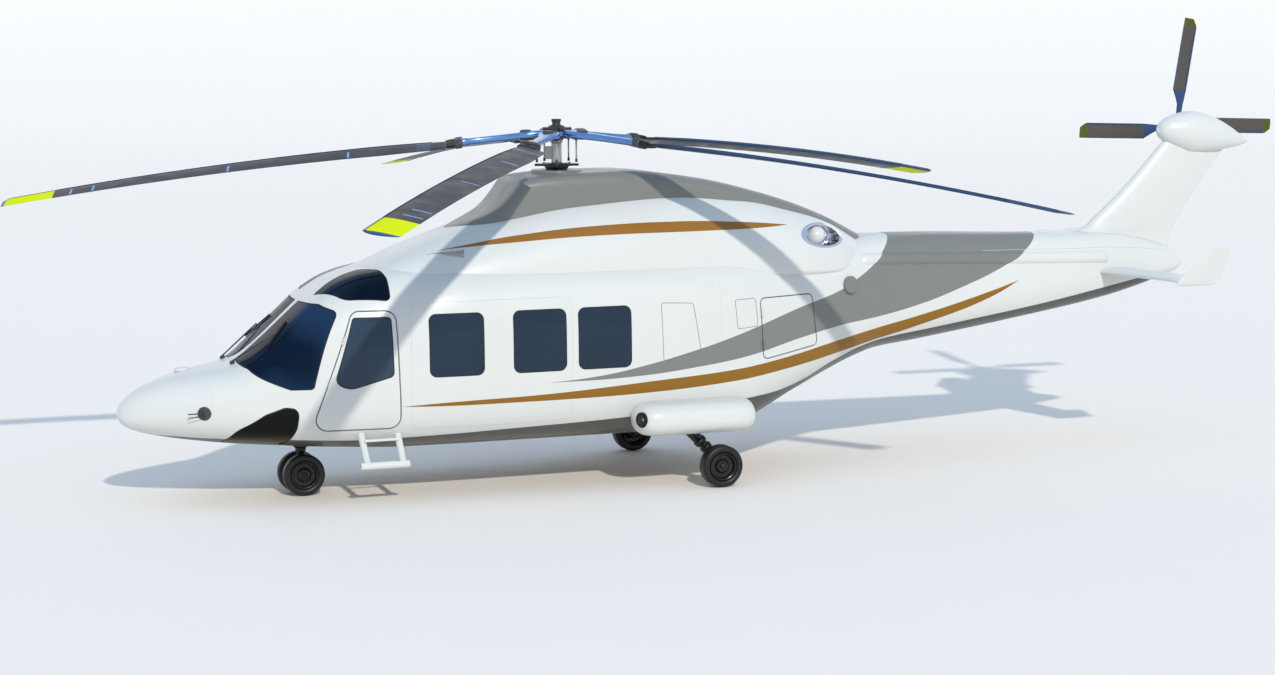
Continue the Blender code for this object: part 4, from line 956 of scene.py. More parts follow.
def make_windows():
    panes = {
        # opening: glass
        "windshield": "windshield",
        "roof_window": "roof_glass",
        "chin_window": "chin_glass",
        "crew_door_window": "crew_glass",
        "cabin_window_1": "glass",
        "cabin_window_2": "glass",
        "cabin_window_3": "glass",
    }
    for name, side in SIDES.items():
        for key, glass in panes.items():
            rides = f"crew_door_body_{name}" if key == "crew_door_window" else "airframe"
            make_pane(f"{key}_{name}", key, side, glass, rides)


HINGES = [
    # door, how far out, heights, corners
    ("crew_door", 0.955, (0.80, 1.25), CREW_DOOR),
    ("baggage_door", 1.068, (0.99, 1.34), BAGGAGE_DOOR),
]
HINGE_RADIUS = 0.0098
HINGE_AHEAD = 0.003
KNUCKLE_END = 0.0200
BARREL_START = 0.0215
BARREL_END = 0.0450


def make_hinges():
    for name, side in SIDES.items():
        for key, out, heights, corners in HINGES:
            low, high = [Vector((x, 0, z)) for x, z, _ in (corners[3], corners[0])]
            along = (high - low).normalized()
            forward = Vector((-along.z, 0, along.x))
            low = low - forward * HINGE_AHEAD + Vector((0, side * out, 0))
            knuckles, barrels = [], []
            for height in heights:
                middle = low + along * (height - low.z) / along.z
                half = along * KNUCKLE_END
                knuckles.append(rod("knuckle", middle - half, middle + half, HINGE_RADIUS))
                for way in (along * -1, along):
                    start, end = middle + way * BARREL_START, middle + way * BARREL_END
                    barrels.append(rod("barrel", start, end, HINGE_RADIUS))
            knuckles = join(f"{key}_{name}_knuckles", knuckles, looks["body"])
            finish_piece(knuckles, f"{key}_body_{name}", "white_paint")
            finish_piece(join(f"{key}_{name}_barrels", barrels, looks["body"]), "airframe", "white_paint")


def exhaust_axis(side):
    return Vector((0.42, side * 0.90, 0.05)).normalized()


def exhaust_mouth(side):
    return Vector((2.93, side * 0.59, 2.13))


def scoop_wedge(side):
    """The dent of a cooling scoop: a point in front, widest and deepest at the rear."""
    corners = [Vector((x, side * y, z)) for x, y, z in SCOOP]
    out = Vector((0, side * 0.8, 0.6))
    points = [corners[0] + out * 0.002]
    points += [corner + out * way for way in (0.03, -0.075) for corner in corners[1:]]
    return mesh_object("scoop_wedge", points, [(0, 1, 2), (0, 4, 3), (0, 3, 1), (0, 2, 4), (1, 3, 4, 2)])


def make_roof():
    cowling = loft("engine_cowling_skin", cowl.whole(), looks["cowl"])
    tools = [envelope(body, -2.6, 3.8)]
    for side in SIDES.values():
        pocket = [(-0.2003, 0.1053), (0.0, 0.1253), (0.25, 0.1253)]
        out, mouth = exhaust_axis(side), exhaust_mouth(side)
        tools.append(turned("exhaust_pocket", pocket, out, mouth, 96, wide=EXHAUST_WIDE))
        tools.append(scoop_wedge(side))
    finish_piece(follow(cut(cowling, *tools), cowl), "airframe", "white_paint", "engine_cowling")

    fairing = loft("mast_fairing_skin", pylon.whole(), looks["grey"])
    cut(fairing, loft("cowl_envelope", cowl.whole(grow=FIT)), envelope(body, -2.6, 3.9))
    finish_piece(follow(fairing, pylon), "airframe", "grey_composite", "mast_fairing")
    seal = [(2.84, 0.30), (2.907, 0.285), (2.915, 0.275), (2.915, 0.075), (2.90, 0.062)]
    finish_piece(upright("mast_seal", seal, 64, "grey"), "airframe", "grey_composite")


def make_exhausts():
    """A wide oval pipe on each side, flush with the cowling, with a white ball in its middle."""
    angles = np.linspace(-0.5, 1.5, 24)
    profiles = {
        # part: (along the axis, radius) points
        "pipe": [(-0.20, 0.105), (0.0, 0.125), (0.25, 0.125), (0.25, 0.117), (0.0, 0.117), (-0.20, 0.097)],
        "lip": [(-0.12, 0.124), (0.30, 0.124), (0.30, 0.141), (-0.12, 0.141)],
        "back": [(-0.1340, 0.1020), (-0.128, 0.1020), (-0.125, 0.096)],
        "ball": [(BALL_DEPTH + BALL_RADIUS * math.sin(a), BALL_RADIUS * math.cos(a)) for a in angles],
        "collar": [(-0.128, 0.104), (-0.116, 0.104), (-0.110, 0.100), (-0.110, 0.097), (-0.128, 0.097)],
    }
    for name, side in SIDES.items():
        out, mouth = exhaust_axis(side), exhaust_mouth(side)

        def part(key, steps=64, look="chrome", closed=False, wide=None):
            label = f"exhaust_{name}_{key}"
            return turned(label, profiles[key], out, mouth, steps, looks[look], closed, wide=wide)

        pipe = part("pipe", 96, closed=True, wide=EXHAUST_WIDE)
        keep(pipe, loft("cowl_outside", cowl.whole(grow=2 * FIT)))
        finish_piece(shade(pipe, 40), "airframe", "bright_metal", f"exhaust_{name}")
        ring = turned("lip_ring", profiles["lip"], out, mouth, 96, closed=True, wide=EXHAUST_WIDE)
        lip = wall(f"exhaust_{name}_lip", cowl, 2.40, 3.40, -0.0012, 0.006, looks["chrome"], step=0.02)
        finish_piece(follow(keep(lip, ring), cowl), "airframe", "bright_metal")
        finish_piece(part("back", wide=EXHAUST_WIDE), "airframe", "bright_metal")
        finish_piece(part("ball", look="white"), "airframe", "composite_white")
        finish_piece(part("collar", closed=True), "airframe", "bright_metal")


# Tail
def wing_section(front, rear, half, count=28):
    """(along, aside) points round an airfoil, from the rear edge over the top and back."""
    upper = []
    for k in range(count + 1):
        u = (1 - math.cos(math.pi * k / count)) / 2
        share = 1.4845 * math.sqrt(u) - 0.63 * u - 1.758 * u ** 2 + 1.4215 * u ** 3 - 0.506 * u ** 4
        thick = half * 2.003 * share
        upper.append((front + (rear - front) * u, max(thick, 0.0015 if 0 < u < 1 else 0.0)))
    return upper[::-1] + [(a, -b) for a, b in upper[1:-1]]


FIN = [
    # height, front edge, rear edge, half thickness
    (1.62, 6.05, 7.760, 0.100),
    (1.94, 6.20, 7.800, 0.104),
    (2.00, 6.45, 7.825, 0.104),
    (2.04, 6.59, 7.850, 0.103),
    (2.18, 6.77, 7.940, 0.100),
    (2.51, 7.155, 8.185, 0.092),
    (2.95, 7.59, 8.535, 0.080),
    (3.16, 7.79, 8.660, 0.075),
]
STABILIZER = [
    # distance out, front edge, rear edge, height, half thickness
    (0.05, 6.62, 7.30, 1.540, 0.045),
    (0.60, 6.74, 7.35, 1.540, 0.040),
    (1.52, 6.93, 7.44, 1.528, 0.030),
    (1.60, 6.95, 7.45, 1.500, 0.024),
    (1.65, 6.96, 7.46, 1.485, 0.022),
]
WINGLET = [
    # height, distance out, front edge, rear edge, half thickness
    (1.475, 1.612, 6.98, 7.36, 0.014),
    (1.482, 1.614, 6.92, 7.43, 0.019),
    (1.50, 1.618, 6.90, 7.455, 0.022),
    (1.60, 1.640, 6.99, 7.49, 0.019),
    (1.76, 1.672, 7.15, 7.535, 0.016),
    (1.895, 1.698, 7.285, 7.578, 0.013),
]


def make_tail():
    heights = np.concatenate([np.arange(1.60, 2.20, 0.04), np.arange(2.20, 3.16, 0.08), [3.16]])
    shape = Surface([row + (0.0,) for row in FIN])
    rings = []
    for height in heights:
        front, rear, half, _ = shape.sizes(height)[:, 0]
        rings.append([(a, b, height) for a, b in wing_section(front, rear, half)])
    fin = loft("tail_fin_skin", rings, looks["white"], smooth=50)
    cut(fin, envelope(body, 5.6, 7.98), loft("pod_envelope", tail_pod.whole(0.02, 64, FIT)))
    finish_piece(shade(fin, 50), "airframe", "white_paint", "tail_fin")

    pod = loft("tail_gearbox_fairing_skin", tail_pod.whole(0.025), looks["white"])
    x, _, z = TAIL_HUB
    shaft = [(0.10, 0.078), (0.30, 0.075), (0.345, 0.072), (0.358, 0.060)]
    shaft = turned("tail_output_shaft", shaft, ASIDE, (x, 0, z), 48, looks["white"])
    finish_piece(follow(pod, tail_pod), "airframe", "white_paint", "tail_gearbox_fairing")
    finish_piece(shaft, "airframe", "white_paint")

    for name, side in SIDES.items():
        flat = Surface([row + (0.0,) for row in STABILIZER])
        rings = []
        for out in np.append(np.linspace(0.05, 1.55, 32), (1.59, 1.612)):
            front, rear, height, half, _ = flat.sizes(out)[:, 0]
            rings.append([(a, side * out, height + b) for a, b in wing_section(front, rear, half)])
        wing = loft(f"stabilizer_{name}_skin", rings, looks["white"], smooth=50)
        plate = Surface([row + (0.0,) for row in WINGLET])
        rings = []
        for height in np.append(np.array([1.475, 1.482, 1.49]), np.linspace(1.50, 1.895, 12)):
            out, front, rear, half, _ = plate.sizes(height)[:, 0]
            rings.append([(a, side * (out - b), height) for a, b in wing_section(front, rear, half)])
        add(wing, loft("winglet", rings, looks["white"], smooth=50))
        cut(wing, envelope(body, 6.2, 7.9))
        finish_piece(shade(wing, 50), "airframe", "white_paint", f"stabilizer_{name}")


# Sponsons, steps and gear
def make_sponsons():
    lamp_parts = [
        # part, look, slot, steps, closed, then (along the lamp's axis, radius) points
        ("bowl", "panel", "panel_black", 48, True, [
            (0.004, 0.0835), (-0.060, 0.0835), (-0.060, 0.012), (-0.054, 0.012), (-0.050, 0.040),
            (-0.032, 0.066), (-0.010, 0.075), (0.004, 0.078)]),
        ("bulb", "steel", "bright_metal", 32, False, [
            (-0.0595, 0.011), (-0.040, 0.016), (-0.024, 0.022), (-0.016, 0.018), (-0.013, 0.010)]),
        ("lens", "clear", "window_glass", 48, False, [
            (-0.009, 0.0745), (-0.006, 0.0745), (0.001, 0.060), (0.005, 0.040), (0.007, 0.016)]),
    ]
    for name, side in SIDES.items():
        rings = [ring + (0, side * SPONSON_OUT, 0) for ring in sponson_shape.whole(0.04, 64)]
        pod = loft(f"sponson_{name}_skin", rings, looks["white"], smooth=60)
        lamp_way = Vector((-0.919, side * 0.393, 0))
        lamp = Vector((LAMP[0], side * LAMP[1], LAMP[2]))
        leg_top = Vector((LEG_LINE[0], side * LEG_OUT, LEG_LINE[1]))
        tools = [
            envelope(body, 0.2, 2.0),
            turned("leg_seat", [(-0.05, 0.066), (0.6, 0.066)], (1, 0, -1), leg_top, 32),
            turned("lamp_seat", [(-0.062, 0.0845), (0.25, 0.0845)], lamp_way, lamp, 48),
        ]
        finish_piece(shade(cut(pod, *tools), 60), "airframe", "white_paint", f"sponson_{name}")
        for part, look, slot, steps, closed, profile in lamp_parts:
            label = f"sponson_lamp_{name}_{part}"
            finish_piece(turned(label, profile, lamp_way, lamp, steps, looks[look], closed), "airframe", slot)


STEP_BAR = {"front": -2.585, "rear": -2.055, "out": 1.12, "height": -0.06, "radius": 0.038, "steps": 32}
STEP_BRACE = {"front": -2.50, "rear": -2.12, "out": 0.985, "height": 0.185, "radius": 0.015, "steps": 24}
STEP_TOP = 0.26
POST_RADIUS = 0.037
STEP_POSTS = [
    # x, how far out its top is
    (-2.505, 0.84),
    (-2.120, 0.88),
]


def level_bar(name, bar, side):
    start, end = [(bar[key], side * bar["out"], bar["height"]) for key in ("front", "rear")]
    return rod(name, start, end, bar["radius"], steps=bar["steps"])


def make_steps():
    for name, side in SIDES.items():
        posts = [level_bar("step_brace", STEP_BRACE, side)]
        for x, top in STEP_POSTS:
            foot = (x, side * STEP_BAR["out"], STEP_BAR["height"])
            posts.append(rod("step_post", foot, (x, side * top, STEP_TOP), POST_RADIUS, steps=32))
        step = add(level_bar("step_bar", STEP_BAR, side), *posts)
        cut(step, envelope(body, -2.9, -1.8))
        step.data.materials.append(looks["white"])
        step.name = f"step_{name}_frame"
        finish_piece(shade(step, 40), "airframe", "step_metal", f"step_{name}")


def tyre(name, x, out, axle_z, r, width):
    """A smooth tyre and a big dished rim with bolts, on the wheel's centre line."""
    half, bead, centre = width / 2, r * 0.66, (x, out, axle_z)
    angles = math.pi * (-0.44 + 0.94 * np.linspace(0, 1, 12))
    side_wall = [(half * (0.60 + 0.40 * math.cos(a)), r * 0.832 + r * 0.168 * math.sin(a)) for a in angles]
    side_wall = [(half * 0.80, bead - 0.006), (half * 0.90, bead)] + side_wall
    section = [(-along, radius) for along, radius in side_wall] + side_wall[::-1]
    rubber = turned(f"{name}_tyre", section, ASIDE, centre, 96, looks["tyre"], closed=True, smooth=35)
    face = half * 0.62
    dish = [
        # along the axle, radius
        (half * 0.80, bead - 0.004), (half * 0.74, bead - 0.016), (face * 0.50, r * 0.53),
        (face * 0.40, r * 0.36), (face * 0.95, r * 0.27), (face, r * 0.255), (face, r * 0.14),
    ]
    section = [(-along, radius) for along, radius in dish] + dish[::-1]
    rim = turned(f"{name}_rim", section, ASIDE, centre, 72, looks["rim"], closed=True, smooth=35)
    bolts = []
    for k in range(8):
        angle = math.pi * k / 4 + 0.2
        place = Vector((x + r * 0.445 * math.cos(angle), out, axle_z + r * 0.445 * math.sin(angle)))
        reach = Vector((0, face * 0.62, 0))
        bolts.append(rod("bolt", place - reach, place + reach, 0.0065, looks["gear"], 6))
    return rubber, join(f"{name}_rims", [rim] + bolts)


MAIN_WHEEL = {"x": 1.38, "out": 1.37, "radius": 0.230, "width": 0.17}
NOSE_WHEEL = {"x": -2.95, "out": 0.125, "radius": 0.225, "width": 0.12}


def make_main_gear():
    x, out, radius, width = MAIN_WHEEL.values()
    axle_z = FLOOR_Z + radius
    hub, leg = out - 0.0527, LEG_OUT
    bars = [
        # label, start, end, radius, steps
        ("leg_tube", (0.955, leg, 0.244), (1.235, leg, -0.036), 0.060, 32),
        ("leg_collar", (1.195, leg, 0.004), (1.240, leg, -0.041), 0.070, 32),
        ("leg_slider", (1.230, leg, -0.031), (1.30, leg, -0.101), 0.050, 32),
        ("leg_band", (1.268, leg, -0.069), (1.315, leg, -0.116), 0.066, 32),
        ("leg_arm", (1.295, leg, -0.092), (x, leg, axle_z), 0.052, 32),
        ("axle_knuckle", (x, leg - 0.06, axle_z), (x, hub - 0.001, axle_z), 0.054, 32),
        ("axle_core", (x, leg - 0.04, axle_z), (x, out + 0.058, axle_z), 0.028, 32),
        ("axle_cap", (x, out + 0.0535, axle_z), (x, out + 0.071, axle_z), 0.030, 32),
        ("axle_nut", (x, out + 0.071, axle_z), (x, out + 0.074, axle_z), 0.016, 6),
        ("brake_drum", (x, hub - 0.040, axle_z), (x, hub - 0.002, axle_z), 0.085, 48),
    ]
    for name, side in SIDES.items():
        rubber, rim = tyre(f"main_wheel_{name}", x, side * out, axle_z, radius, width)
        finish_piece(rubber, f"main_wheel_body_{name}", "tyre_black", f"main_wheel_{name}")
        finish_piece(rim, f"main_wheel_body_{name}", "gear_black")
        pieces = []
        for label, start, end, thick, steps in bars:
            start, end = [(a, side * b, c) for a, b, c in (start, end)]
            pieces.append(rod(label, start, end, thick, looks["gear"], steps))
        leg_parts = join(f"main_gear_leg_{name}_parts", pieces)
        finish_piece(leg_parts, "airframe", "gear_black", f"main_gear_leg_{name}")


def make_nose_gear():
    x, out, radius, width = NOSE_WHEEL.values()
    axle_z = FLOOR_Z + radius
    leg = upright("nose_gear_leg_strut", [
        # height, radius
        (-0.029, 0.050), (-0.024, 0.058), (0.0, 0.058), (0.006, 0.066), (0.02, 0.083), (0.06, 0.083),
    ], 48, "gear", x)
    finish_piece(leg, "airframe", "gear_black", "nose_gear_leg")
    fork = upright("nose_fork_tube", [
        # height, radius
        (axle_z - 0.008, 0.030), (axle_z, 0.038), (-0.10, 0.040), (-0.095, 0.046), (-0.07, 0.046),
        (-0.06, 0.042), (-0.040, 0.053), (-0.031, 0.053),
    ], 48, "gear", x)
    boss = rod("fork_boss", (x, -0.086, axle_z), (x, 0.086, axle_z), 0.045, looks["gear"], 48)
    scissor = box("fork_scissor", (x + 0.035, -0.020, -0.20), (x + 0.075, 0.020, -0.06), looks["gear"], 0.006)
    finish_piece(join("nose_fork_parts", [fork, boss, scissor]), "nose_steering", "gear_black", "nose_fork")
    rubbers, rims = [], []
    for side in SIDES.values():
        rubber, rim = tyre(f"nose_wheel_{side}", x, side * out, axle_z, radius, width)
        cap = rod("nose_cap", (x, side * 0.09, axle_z), (x, side * 0.165, axle_z), 0.028, looks["gear"], 32)
        rubbers.append(rubber)
        rims += [rim, cap]
    finish_piece(join("nose_wheels_tyres", rubbers), "nose_wheel_pair", "tyre_black", "nose_wheels")
    finish_piece(join("nose_wheels_rims", rims), "nose_wheel_pair", "gear_black")


# Small things on the skin
def raised(place, lift, surface=body):
    return place + Vector(surface.normals([place])[0]) * lift


def on_side(x, z, side, lift=0.0, surface=body):
    """A point on a body's side, raised by lift."""
    return raised(Vector((x, side * float(surface.out(x, z)[0]), z)), lift, surface)


def on_top(x, y, lift=0.0):
    """A point on the body's upper side, raised by lift."""
    top, _, mid, width, upper, _ = body.sizes(x)[:, 0]
    share = (1 - min(abs(y) / width, 1) ** upper) ** (1 / upper)
    return raised(Vector((x, y, mid + (top - mid) * share)), lift)


def spread(points, closed=False, step=0.03):
    """More points along a line, about a step apart."""
    ends = points[1:] + points[:1] if closed else points[1:]
    line = []
    for (x0, z0), (x1, z1) in zip(points, ends):
        count = max(1, round(math.hypot(x1 - x0, z1 - z0) / step))
        line += [(x0 + (x1 - x0) * k / count, z0 + (z1 - z0) * k / count) for k in range(count)]
    return line if closed else line + [points[-1]]


def ribbon(name, places, width, top, foot, material, closed=False):
    """A thin flat bar along points of the body's skin, from foot to top above them."""
    outs = [Vector(out) for out in body.normals(places)]
    rings = []
    for i, (here, out) in enumerate(zip(places, outs)):
        before = places[i - 1] if closed or i else here
        after = places[(i + 1) % len(places)] if closed or i < len(places) - 1 else here
        aside = (after - before).normalized().cross(out) * width / 2
        rings.append([here + aside + out * top, here - aside + out * top,
                      here - aside + out * foot, here + aside + out * foot])
    return loft(name, rings, material, wrap=closed)


def door_edge(corners):
    return [tuple(p) for p in inset(rounded(corners), -0.0035)]


def make_lines():
    """The edges of panels on the body's sides, and pale lines of painted shade along the creases at the
    cowling's foot and on the boom.
    """
    lines = [
        # name, points, closed, width, look
        ("blank_panel", [tuple(p) for p in rounded(BLANK_PANEL)], True, 0.006, "line"),
        ("small_hatch", [tuple(p) for p in rounded(SMALL_HATCH)], True, 0.006, "line"),
        # pale lines of painted shade along two creases
        ("cowl_foot_crease_shade", COWL_FOOT_LINE, False, 0.005, "crease_painted_shade"),
        ("boom_crease_shade", BOOM_LINE, False, 0.005, "crease_painted_shade"),
        ("crew_door_line", door_edge(CREW_DOOR), True, 0.006, "line"),
        ("baggage_door_line", door_edge(BAGGAGE_DOOR), True, 0.005, "line"),
    ]
    for name, side in SIDES.items():
        for key, points, closed, width, look in lines:
            places = [on_side(x, z, side) for x, z in spread(points, closed)]
            line = ribbon(f"{key}_{name}", places, width, 0.0007, -0.002, looks[look], closed)
            finish_piece(line, "airframe", "white_paint")


def make_boom_rails():
    """A half-round cover along each side of the boom."""
    (start, _), (end, _) = RAIL_TOP[0], RAIL_TOP[-1]
    for name, side in SIDES.items():
        rings = []
        for x in np.linspace(start, end, 112):
            top, low = np.interp(x, *zip(*RAIL_TOP)), np.interp(x, *zip(*RAIL_FOOT))
            taper = math.sqrt(min(1, max(0.02, min(x - start, end - x) / 0.06)))
            heights = np.linspace(0, 1, 11)
            lifts = [RAIL_DEPTH * taper * math.sin(math.pi * t) ** 0.7 - 0.002 for t in heights]
            outer = [on_side(x, low + (top - low) * t, side, lift) for t, lift in zip(heights, lifts)]
            inner = [on_side(x, low + (top - low) * t, side, -0.010) for t in heights[::-1]]
            rings.append(outer + inner)
        rail = loft(f"boom_rail_{name}", rings, looks["body"], smooth=40)
        finish_piece(rail, "airframe", "white_paint")


def blister(name, centre, sizes):
    """A smooth white bump, half sunk in the skin."""
    long, wide, high = sizes
    rings = []
    for t in np.sin(np.linspace(-1.5, 1.5, 24)):
        r = math.sqrt(1 - t * t)
        turns = np.linspace(0, 2 * math.pi, 33)[:-1]
        ring = [(long * t, wide * r * math.cos(a), high * r * math.sin(a)) for a in turns]
        rings.append([Vector(centre) + Vector(point) for point in ring])
    finish_piece(loft(name, rings, looks["white"], smooth=60), "airframe", "white_paint")


def make_bumps():
    """Antennas, covers and probes on the nose, the boom and the rear fuselage."""
    blister("nose_top_cover", on_top(-4.185, 0.09, 0.002), (0.100, 0.060, 0.034))
    blister("boom_top_antenna", (6.08, 0, 1.995), (0.140, 0.050, 0.046))
    for name, side in SIDES.items():
        place = on_side(3.256, 1.558, side)
        out = Vector(body.normals([place])[0])
        disc = [(-0.02, 0.100), (0.026, 0.100), (0.038, 0.090), (0.042, 0.05)]
        disc = turned(f"side_antenna_{name}", disc, out, place, 48, looks["grey"])
        finish_piece(disc, "airframe", "grey_composite")

        place = on_side(-4.10, 0.514, side)
        out = Vector(body.normals([place])[0])
        foot_plate = [(-0.01, 0.072), (0.003, 0.072), (0.005, 0.068)]
        pieces = [turned("probe_plate", foot_plate, out, place, 48, looks["dark_metal"])]
        for drop, reach, radius in ((0.006, 0.145, 0.0070), (-0.030, 0.140, 0.0045)):
            foot = place + Vector((0, 0, drop)) + out * 0.002
            elbow = foot + out * 0.030 + Vector((-0.02, 0, 0))
            tip = elbow + Vector((-reach, 0, 0))
            pieces += [rod("probe_mast", foot, elbow, radius, looks["dark_metal"]),
                       rod("probe", elbow + Vector((0.012, 0, 0)), tip, radius, looks["dark_metal"])]
        finish_piece(join(f"nose_probes_{name}", pieces), "airframe", "panel_black")


def make_wipers():
    """An arm from the nose's top and a blade that lies on the windshield."""
    for name, side in SIDES.items():
        base, elbow = on_top(-3.72, side * 0.24), on_top(-3.28, side * 0.45, 0.032)
        out = Vector(body.normals([base])[0])
        low, high = Vector((-3.40, side * 0.52, 0)), Vector((-3.16, side * 0.37, 0))
        places = [on_top(*(low.lerp(high, t)).xy) for t in np.linspace(0, 1, 9)]
        metal, knob = looks["dark_metal"], [(-0.02, 0.026), (0.026, 0.026), (0.034, 0.018)]
        pieces = [
            turned("wiper_base", knob, out, base, 24, metal),
            rod("wiper_arm", base + out * 0.026, elbow, 0.0085, metal),
            rod("wiper_pin", elbow + out * 0.006, on_top(-3.28, side * 0.45, 0.008), 0.007, metal),
            ribbon("wiper_blade", places, 0.014, 0.020, 0.0015, looks["rubber"]),
        ]
        finish_piece(join(f"wiper_{name}", pieces), "airframe", "panel_black")


# Rotors
HUB_HEIGHT = 3.32
MAIN_RADIUS = 6.01
MAIN_PHASE = 20.0
DRIVER_AZIMUTH = 159.0
CUFF_END = 1.22
BLADE_CHORD = 0.38
ARM_START = 0.10
ARM_SAG = 0.115
BLADE_SLOPE = 0.326
BLADES = [
    # degrees that each blade lags in its hinge, and its bend in metres
    (0.9, 0.250), (-1.5, 0.165), (0.0, 0.250), (-1.35, 0.190), (-0.4, 0.250),
]
ROOT_PITCH = 12.0
TIP_PITCH = 7.0
YELLOW_START = 0.885
BLADE_STRIPS = (2.28, 3.58, 5.03, 5.27)
STRIP_HALF = 0.0024
STRIP_CHORD = (0.40, 0.92)
TAIL_HUB = (8.14, 0.44, 3.175)
TAIL_PAIRS = (10.0, -88.0)


def pitched(across, a, b, pitch):
    """A section's point, across and up from its middle, when its front edge is pitched up."""
    c, s = math.cos(math.radians(pitch)), math.sin(math.radians(pitch))
    return across * (a * c + b * s) + Vector((0, 0, b * c - a * s))


def arm_height(reach):
    return HUB_HEIGHT - ARM_SAG * (reach - ARM_START) / (CUFF_END - ARM_START)


def blade_azimuth(i):
    return math.radians(MAIN_PHASE + 360 / len(BLADES) * i)


def blade_line(i, t):
    """A point on a drooping blade's feathering line, and the blade's direction."""
    lag, bend = BLADES[i]
    angle = blade_azimuth(i)
    swung = angle + math.radians(lag)
    way = Vector((math.cos(swung), math.sin(swung), 0))
    root = Vector((math.cos(angle), math.sin(angle), 0)) * CUFF_END
    sag = ARM_SAG + BLADE_SLOPE * t + bend * t * t
    return root + way * (MAIN_RADIUS - CUFF_END) * t + Vector((0, 0, HUB_HEIGHT - sag)), way


def blade_skin(name, i, start, end, material, lift=0.0, front=0.0, back=1.0, count=40):
    """A stretch of a blade; front and back limit a strip to a share of the chord."""
    rings = []
    for t in np.linspace(start, end, count):
        middle, way = blade_line(i, t)
        across = Vector((-way.y, way.x, 0))
        width = BLADE_CHORD * (0.80 + 0.20 * min(t / 0.14, 1))
        tip = max(0, (t - 0.985) / 0.015)
        nose, tail = width * (-0.3 + 0.20 * tip ** 2), width * (0.7 - 0.04 * tip)
        section = wing_section(nose - lift, tail + lift, width * 0.046 * (1 - 0.4 * tip) + lift, count=20)
        low = -width * 0.3 + front * width if front else -width
        high = nose + back * width if back < 1 else width
        section = [(min(max(a, low), high), b) for a, b in section]
        pitch = ROOT_PITCH + (TIP_PITCH - ROOT_PITCH) * t
        rings.append([middle + pitched(across, a, b, pitch) for a, b in section])
    return loft(name, rings, material, smooth=40)


def make_blades():
    pieces = [
        # part, start, end, look, lift, back, count
        # The blue edges and tip band are a painted reflection of the sky on metal
        ("skin", 0.0005, YELLOW_START, "blade", 0.0, 1.0, 60),
        ("tip", YELLOW_START, 0.9995, "yellow", 0.0, 1.0, 30),
        ("edge", 0.03, YELLOW_START, "edge_painted_sky_reflection", 0.0010, 0.045, 60),
        ("tip_edge", YELLOW_START, 0.9935, "edge_painted_sky_reflection", 0.0012, 0.080, 30),
        ("tip_band", 0.9925, 1.0, "edge_painted_sky_reflection", 0.0014, 1.0, 16),
    ]
    for i in range(len(BLADES)):
        name = f"main_blade_{i + 1}"
        skin, tip, *edges = [
            blade_skin(f"{name}_{part}", i, start, end, looks[look], lift, back=back, count=count)
            for part, start, end, look, lift, back, count in pieces
        ]
        finish_piece(skin, "main_rotor", "blade_composite", name)
        finish_piece(tip, "main_rotor", "blade_composite")
        finish_piece(join(f"{name}_leading_edge", edges), "main_rotor", "rotor_metal")
        strips = []
        # Metal strips across the chord, their blue a painted reflection of the sky
        for reach in BLADE_STRIPS:
            t = (reach - CUFF_END) / (MAIN_RADIUS - CUFF_END)
            start, end = t - STRIP_HALF, t + STRIP_HALF
            strip = blade_skin("strip", i, start, end, looks["strip_painted_sky_reflection"], 0.0012, *STRIP_CHORD, count=2)
            strips.append(strip)
        finish_piece(join(f"{name}_strips", strips), "main_rotor", "rotor_metal")


def bar_loft(name, along, across, rows, material, pitch=0.0, aside=0.0):
    """A rounded arm along a drooping line: rows of reach, half width, half height and lift."""
    rings = []
    for reach, wide, high, lift in rows:
        middle = along * reach + Vector((0, 0, arm_height(reach)))
        ring = []
        for k in range(24):
            angle = 2 * math.pi * k / 24
            c, s = math.cos(angle), math.sin(angle)
            a = aside + wide * math.copysign(abs(c) ** 0.5, c)
            b = lift + high * math.copysign(abs(s) ** 0.6, s)
            ring.append(middle + pitched(across, a, b, pitch))
        rings.append(ring)
    return loft(name, rings, material, smooth=50)


def make_mast():
    mast = upright("main_rotor_mast", [
        # height, radius
        (2.9165, 0.055), (2.99, 0.055), (3.00, 0.058), (3.05, 0.058), (3.06, 0.056), (3.20, 0.056),
        (3.22, 0.070), (3.262, 0.070),
    ], 48, "mast")
    driver = box("driver", (0.045, -0.022, 3.03), (0.128, 0.022, 3.17), looks["mast"], 0.008)
    driver.rotation_euler = (0, 0, math.radians(DRIVER_AZIMUTH))
    bpy.context.view_layer.update()
    finish_piece(join("main_rotor_mast_parts", [mast, driver]), "main_rotor", "rotor_metal", "main_rotor_hub")
    # The hub plate's blue is a painted reflection of the sky
    plate = upright("hub_plate", [
        # height, radius
        (3.262, 0.075), (3.268, 0.135), (3.285, 0.146), (3.335, 0.146), (3.343, 0.140), (3.346, 0.075),
    ], 60, "metal_with_painted_sky_reflection")
    finish_piece(plate, "main_rotor", "rotor_metal")


HUB_COVER = [(3.346, 0.125), (3.358, 0.130), (3.395, 0.080), (3.403, 0.062)]
HUB_CAP = [(3.403, 0.050), (3.412, 0.046), (3.440, 0.046), (3.446, 0.054), (3.468, 0.054), (3.47, 0.050)]
BEARING = [(-0.044, 0.060), (-0.034, 0.068), (0.042, 0.068), (0.056, 0.058), (0.062, 0.030)]
BEARING_REACH = 0.335
YOKE = [
    # reach, half width, half height, lift
    (0.125, 0.070, 0.036, 0.0), (0.20, 0.098, 0.040, 0.0), (0.30, 0.118, 0.042, 0.0),
    (0.37, 0.112, 0.040, 0.0), (0.48, 0.070, 0.038, 0.0), (0.60, 0.054, 0.036, 0.0),
    (0.80, 0.050, 0.036, 0.0), (0.95, 0.054, 0.036, 0.0), (0.99, 0.076, 0.042, 0.0),
    (1.045, 0.084, 0.044, 0.0), (1.06, 0.080, 0.040, 0.0),
]
